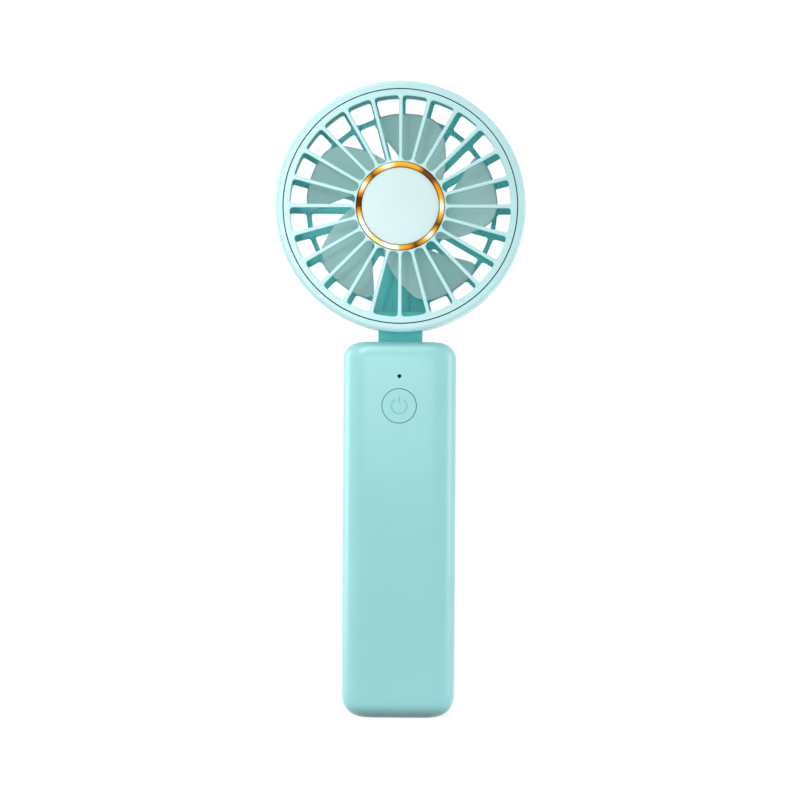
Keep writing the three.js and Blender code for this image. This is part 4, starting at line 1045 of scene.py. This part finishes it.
def makeScrew(name, length):  # pointing forwards, its head's top at the origin facing back
    size = screwSizes
    head, depth, shank, pitch = size["head"], size["depth"], size["shank"], size["pitch"]
    outline = [(0, 0, 0), (head * size["flat"], 0, 0.2), (head, -size["brim"], 0.15), (head, -depth, 0.1),
               (shank, -depth, 0)]
    for i in range(int((length - depth) / pitch)):
        z = -depth - pitch / 2 - pitch * i
        outline += [(shank - size["thread"], z, 0), (shank, z - 0.35, 0)]
    outline += [(0.2, -length, 0), (0, -length, 0)]
    piece = fromBmesh(name, spin(fillet(outline, 3), 40), Matrix.Rotation(-math.pi / 2, 4, "X"))
    half, reach = size["cross"] / 2, size["crossLength"] / 2
    cutters = [boxPiece("slot", (-reach, -size["crossDepth"], -half), (reach, 0.5, half)),
               boxPiece("slot", (-half, -size["crossDepth"], -reach), (half, 0.5, reach))]
    carve(piece, cutters)
    return piece


fastenerPattern = gridTree()


def placeScrews(name, nodes, columns, rows, length):
    corners = [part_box(node) for node in nodes]
    middles = [(low + high) / 2 for low, high in corners]
    width = max(m.x for m in middles) - min(m.x for m in middles)
    height = max(m.z for m in middles) - min(m.z for m in middles)
    centre = Vector((0, corners[0][1].y, sum(m.z for m in middles) / len(middles)))
    piece = makeScrew(name, length)
    runTree(piece, fastenerPattern, {"Columns": columns, "Rows": rows, "Width": width, "Height": height,
                                     "Centre": centre, "Finish": finishes["steel"]})
    smooth(piece, 35)
    finishPiece(piece, "housing", "steel", nodes)


placeScrews("shellScrews", shellScrews, 2, 2, screwSizes["shellLength"])
placeScrews("neckScrews", ["neck_screw_left", "neck_screw_right"], 2, 1, screwSizes["neckLength"])

neckBlock = softCopy("neck", "neckBlock", 0.5, 4)
finishPiece(neckBlock, "housing", "housing_teal", ["neck"], neckFinish)
coverPlate = softCopy("lead_cover", "leadCoverPlate", 0.04)
finishPiece(coverPlate, "housing", "housing_teal", ["lead_cover"])
socketShell = softCopy("charge_socket", "chargeSocketShell", 0.06, 2, 40)
finishPiece(socketShell, "housing", "steel", ["charge_socket"])


rearCapSizes = {"rim": 1.6, "ringWidth": 1.0, "ringDepth": 0.3, "ringSlope": 0.3, "edgeDown": 0.05}


def makeRearCap():  # a shallow ring is turned into its face
    size = rearCapSizes
    outer, front, back = depthsOf(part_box("rear_hub_cap"))
    ringOuter, floor, slope = outer - size["rim"], back + size["ringDepth"], size["ringSlope"]
    ringInner = ringOuter - size["ringWidth"]
    outline = fillet([
        (0, front, 0), (outer, front, 0), (outer, back + size["edgeDown"], 0.3), (ringOuter, back, 0.2),
        (ringOuter - slope, floor, 0.15), (ringInner + slope, floor, 0.15), (ringInner, back, 0.2),
        (0, back, 0)], 4)
    piece = fromBmesh("rearCap", spin(outline, 120), headPlace)
    smooth(piece, 40)
    finishPiece(piece, "housing", "housing_teal", ["rear_hub_cap"])


makeRearCap()
print("small pieces done")


# stage, light and camera

stageSizes = {"reach": 3.0, "back": 1.2, "bend": 0.6, "height": 2.4, "glow": 0.88}


def makeStage():
    size = stageSizes
    bm = bmesh.new()
    profile = [(-size["reach"], 0), (size["back"], 0)]
    for i in range(1, 13):  # the floor bends up into the backdrop
        turn = math.pi / 2 * i / 12
        profile.append((size["back"] + size["bend"] * math.sin(turn), size["bend"] * (1 - math.cos(turn))))
    profile.append((size["back"] + size["bend"], size["height"]))
    rows = [[bm.verts.new((side * size["reach"], y, z)) for side in (-1, 1)] for y, z in profile]
    for row, after in zip(rows, rows[1:]):
        bm.faces.new((row[0], row[1], after[1], after[0]))
    floor = fromBmesh("floor", bm, scale=1)
    floor.data.polygons.foreach_set("use_smooth", [True] * len(floor.data.polygons))
    material, tree, shader, coords = newMaterial("paleFloor")
    base = ramp(tree, noise(tree, coords, 2, 2), [(0.3, (0.14, 0.14, 0.14, 1)), (0.7, (0.16, 0.16, 0.16, 1))])
    wire(tree, shader, {"Base Color": base, "Roughness": 0.9, "Specular IOR Level": 0.1,
                        "Emission Color": (1, 1, 1, 1), "Emission Strength": size["glow"]})
    floor.data.materials.append(material)


lightSizes = {
    "left": 1.2, "right": 0.68,  # strength of the room's light on the two sides
    "pools": [("headPool", (-0.13, -1.0, 0.24), (-0.045, 0, 0.175), 0.078, 7.0),  # place, aim, radius, energy
              ("gripPool", (0.0, -1.0, 0.134), (0.0, 0, 0.125), 0.038, 4.2)],
    "poolSoft": 1.0, "poolSize": 0.05,
    "strips": [("leftStrip", (-0.56, 0.18, 0.12), 1.6), ("rightStrip", (0.6, 0.02, 0.12), 1.5),
               ("topBox", (-0.22, -0.4, 0.75), 2.3)],
    "stripWide": 0.3, "stripTall": 0.6, "stripAim": (0, 0, 0.13),
}


def makeLights():
    size = lightSizes
    world = bpy.data.worlds.new("studio")
    bpy.context.scene.world = world
    world.use_nodes = True
    tree = world.node_tree
    along = splitOf(tree, addNode(tree, "ShaderNodeTexCoord").outputs["Generated"])
    strength = addNode(tree, "ShaderNodeMapRange", {  # the room is brighter on the left
        "From Min": -1, "From Max": 1, "To Min": size["left"], "To Max": size["right"], "Value": along["X"]})
    wire(tree, tree.nodes["Background"], {"Color": (1, 1, 1, 1), "Strength": strength.outputs["Result"]})
    for name, place, target, radius, energy in size["pools"]:  # pools of light on the head and the grip's top
        pool = placeLamp(name, "SPOT", place, target, energy)
        pool.shadow_soft_size = size["poolSize"]
        pool.spot_size = 2 * math.atan(radius / (Vector(target) - Vector(place)).length)
        pool.spot_blend = size["poolSoft"]
    for name, place, energy in size["strips"]:  # tall soft boxes for the bright edges
        strip = placeLamp(name, "AREA", place, size["stripAim"], energy)
        strip.shape = "RECTANGLE"
        strip.size, strip.size_y = size["stripWide"], size["stripTall"]


def placeLamp(name, kind, place, target, energy):
    light = bpy.data.lights.new(name, kind)
    light.energy = energy
    lamp = addObject(name, light)
    lamp.location = place
    lamp.rotation_euler = (Vector(target) - Vector(place)).to_track_quat("-Z", "Y").to_euler()
    return light


# in metres, "view" is the width seen at the fan; "roll" is in degrees
cameraSizes = {"side": 0.021, "height": 0.1082, "distance": 1.0145, "view": 0.27456, "roll": 0.34}


def makeCamera():
    size = cameraSizes
    camera = bpy.data.cameras.new("camera")
    camera.lens = camera.sensor_width * size["distance"] / size["view"]
    camera.clip_start, camera.clip_end = 0.05, 20
    rig = addObject("camera", camera)
    rig.location = (size["side"], -size["distance"], size["height"])
    aim = (Vector((0, 0, size["height"])) - rig.location).to_track_quat("-Z", "Y").to_matrix()
    rig.rotation_euler = (aim @ Matrix.Rotation(math.radians(size["roll"]), 3, "Z")).to_euler()
    bpy.context.scene.camera = rig


makeStage()
makeLights()
makeCamera()
bpy.context.scene.view_settings.view_transform = "Standard"
print("stage, lights and camera done")
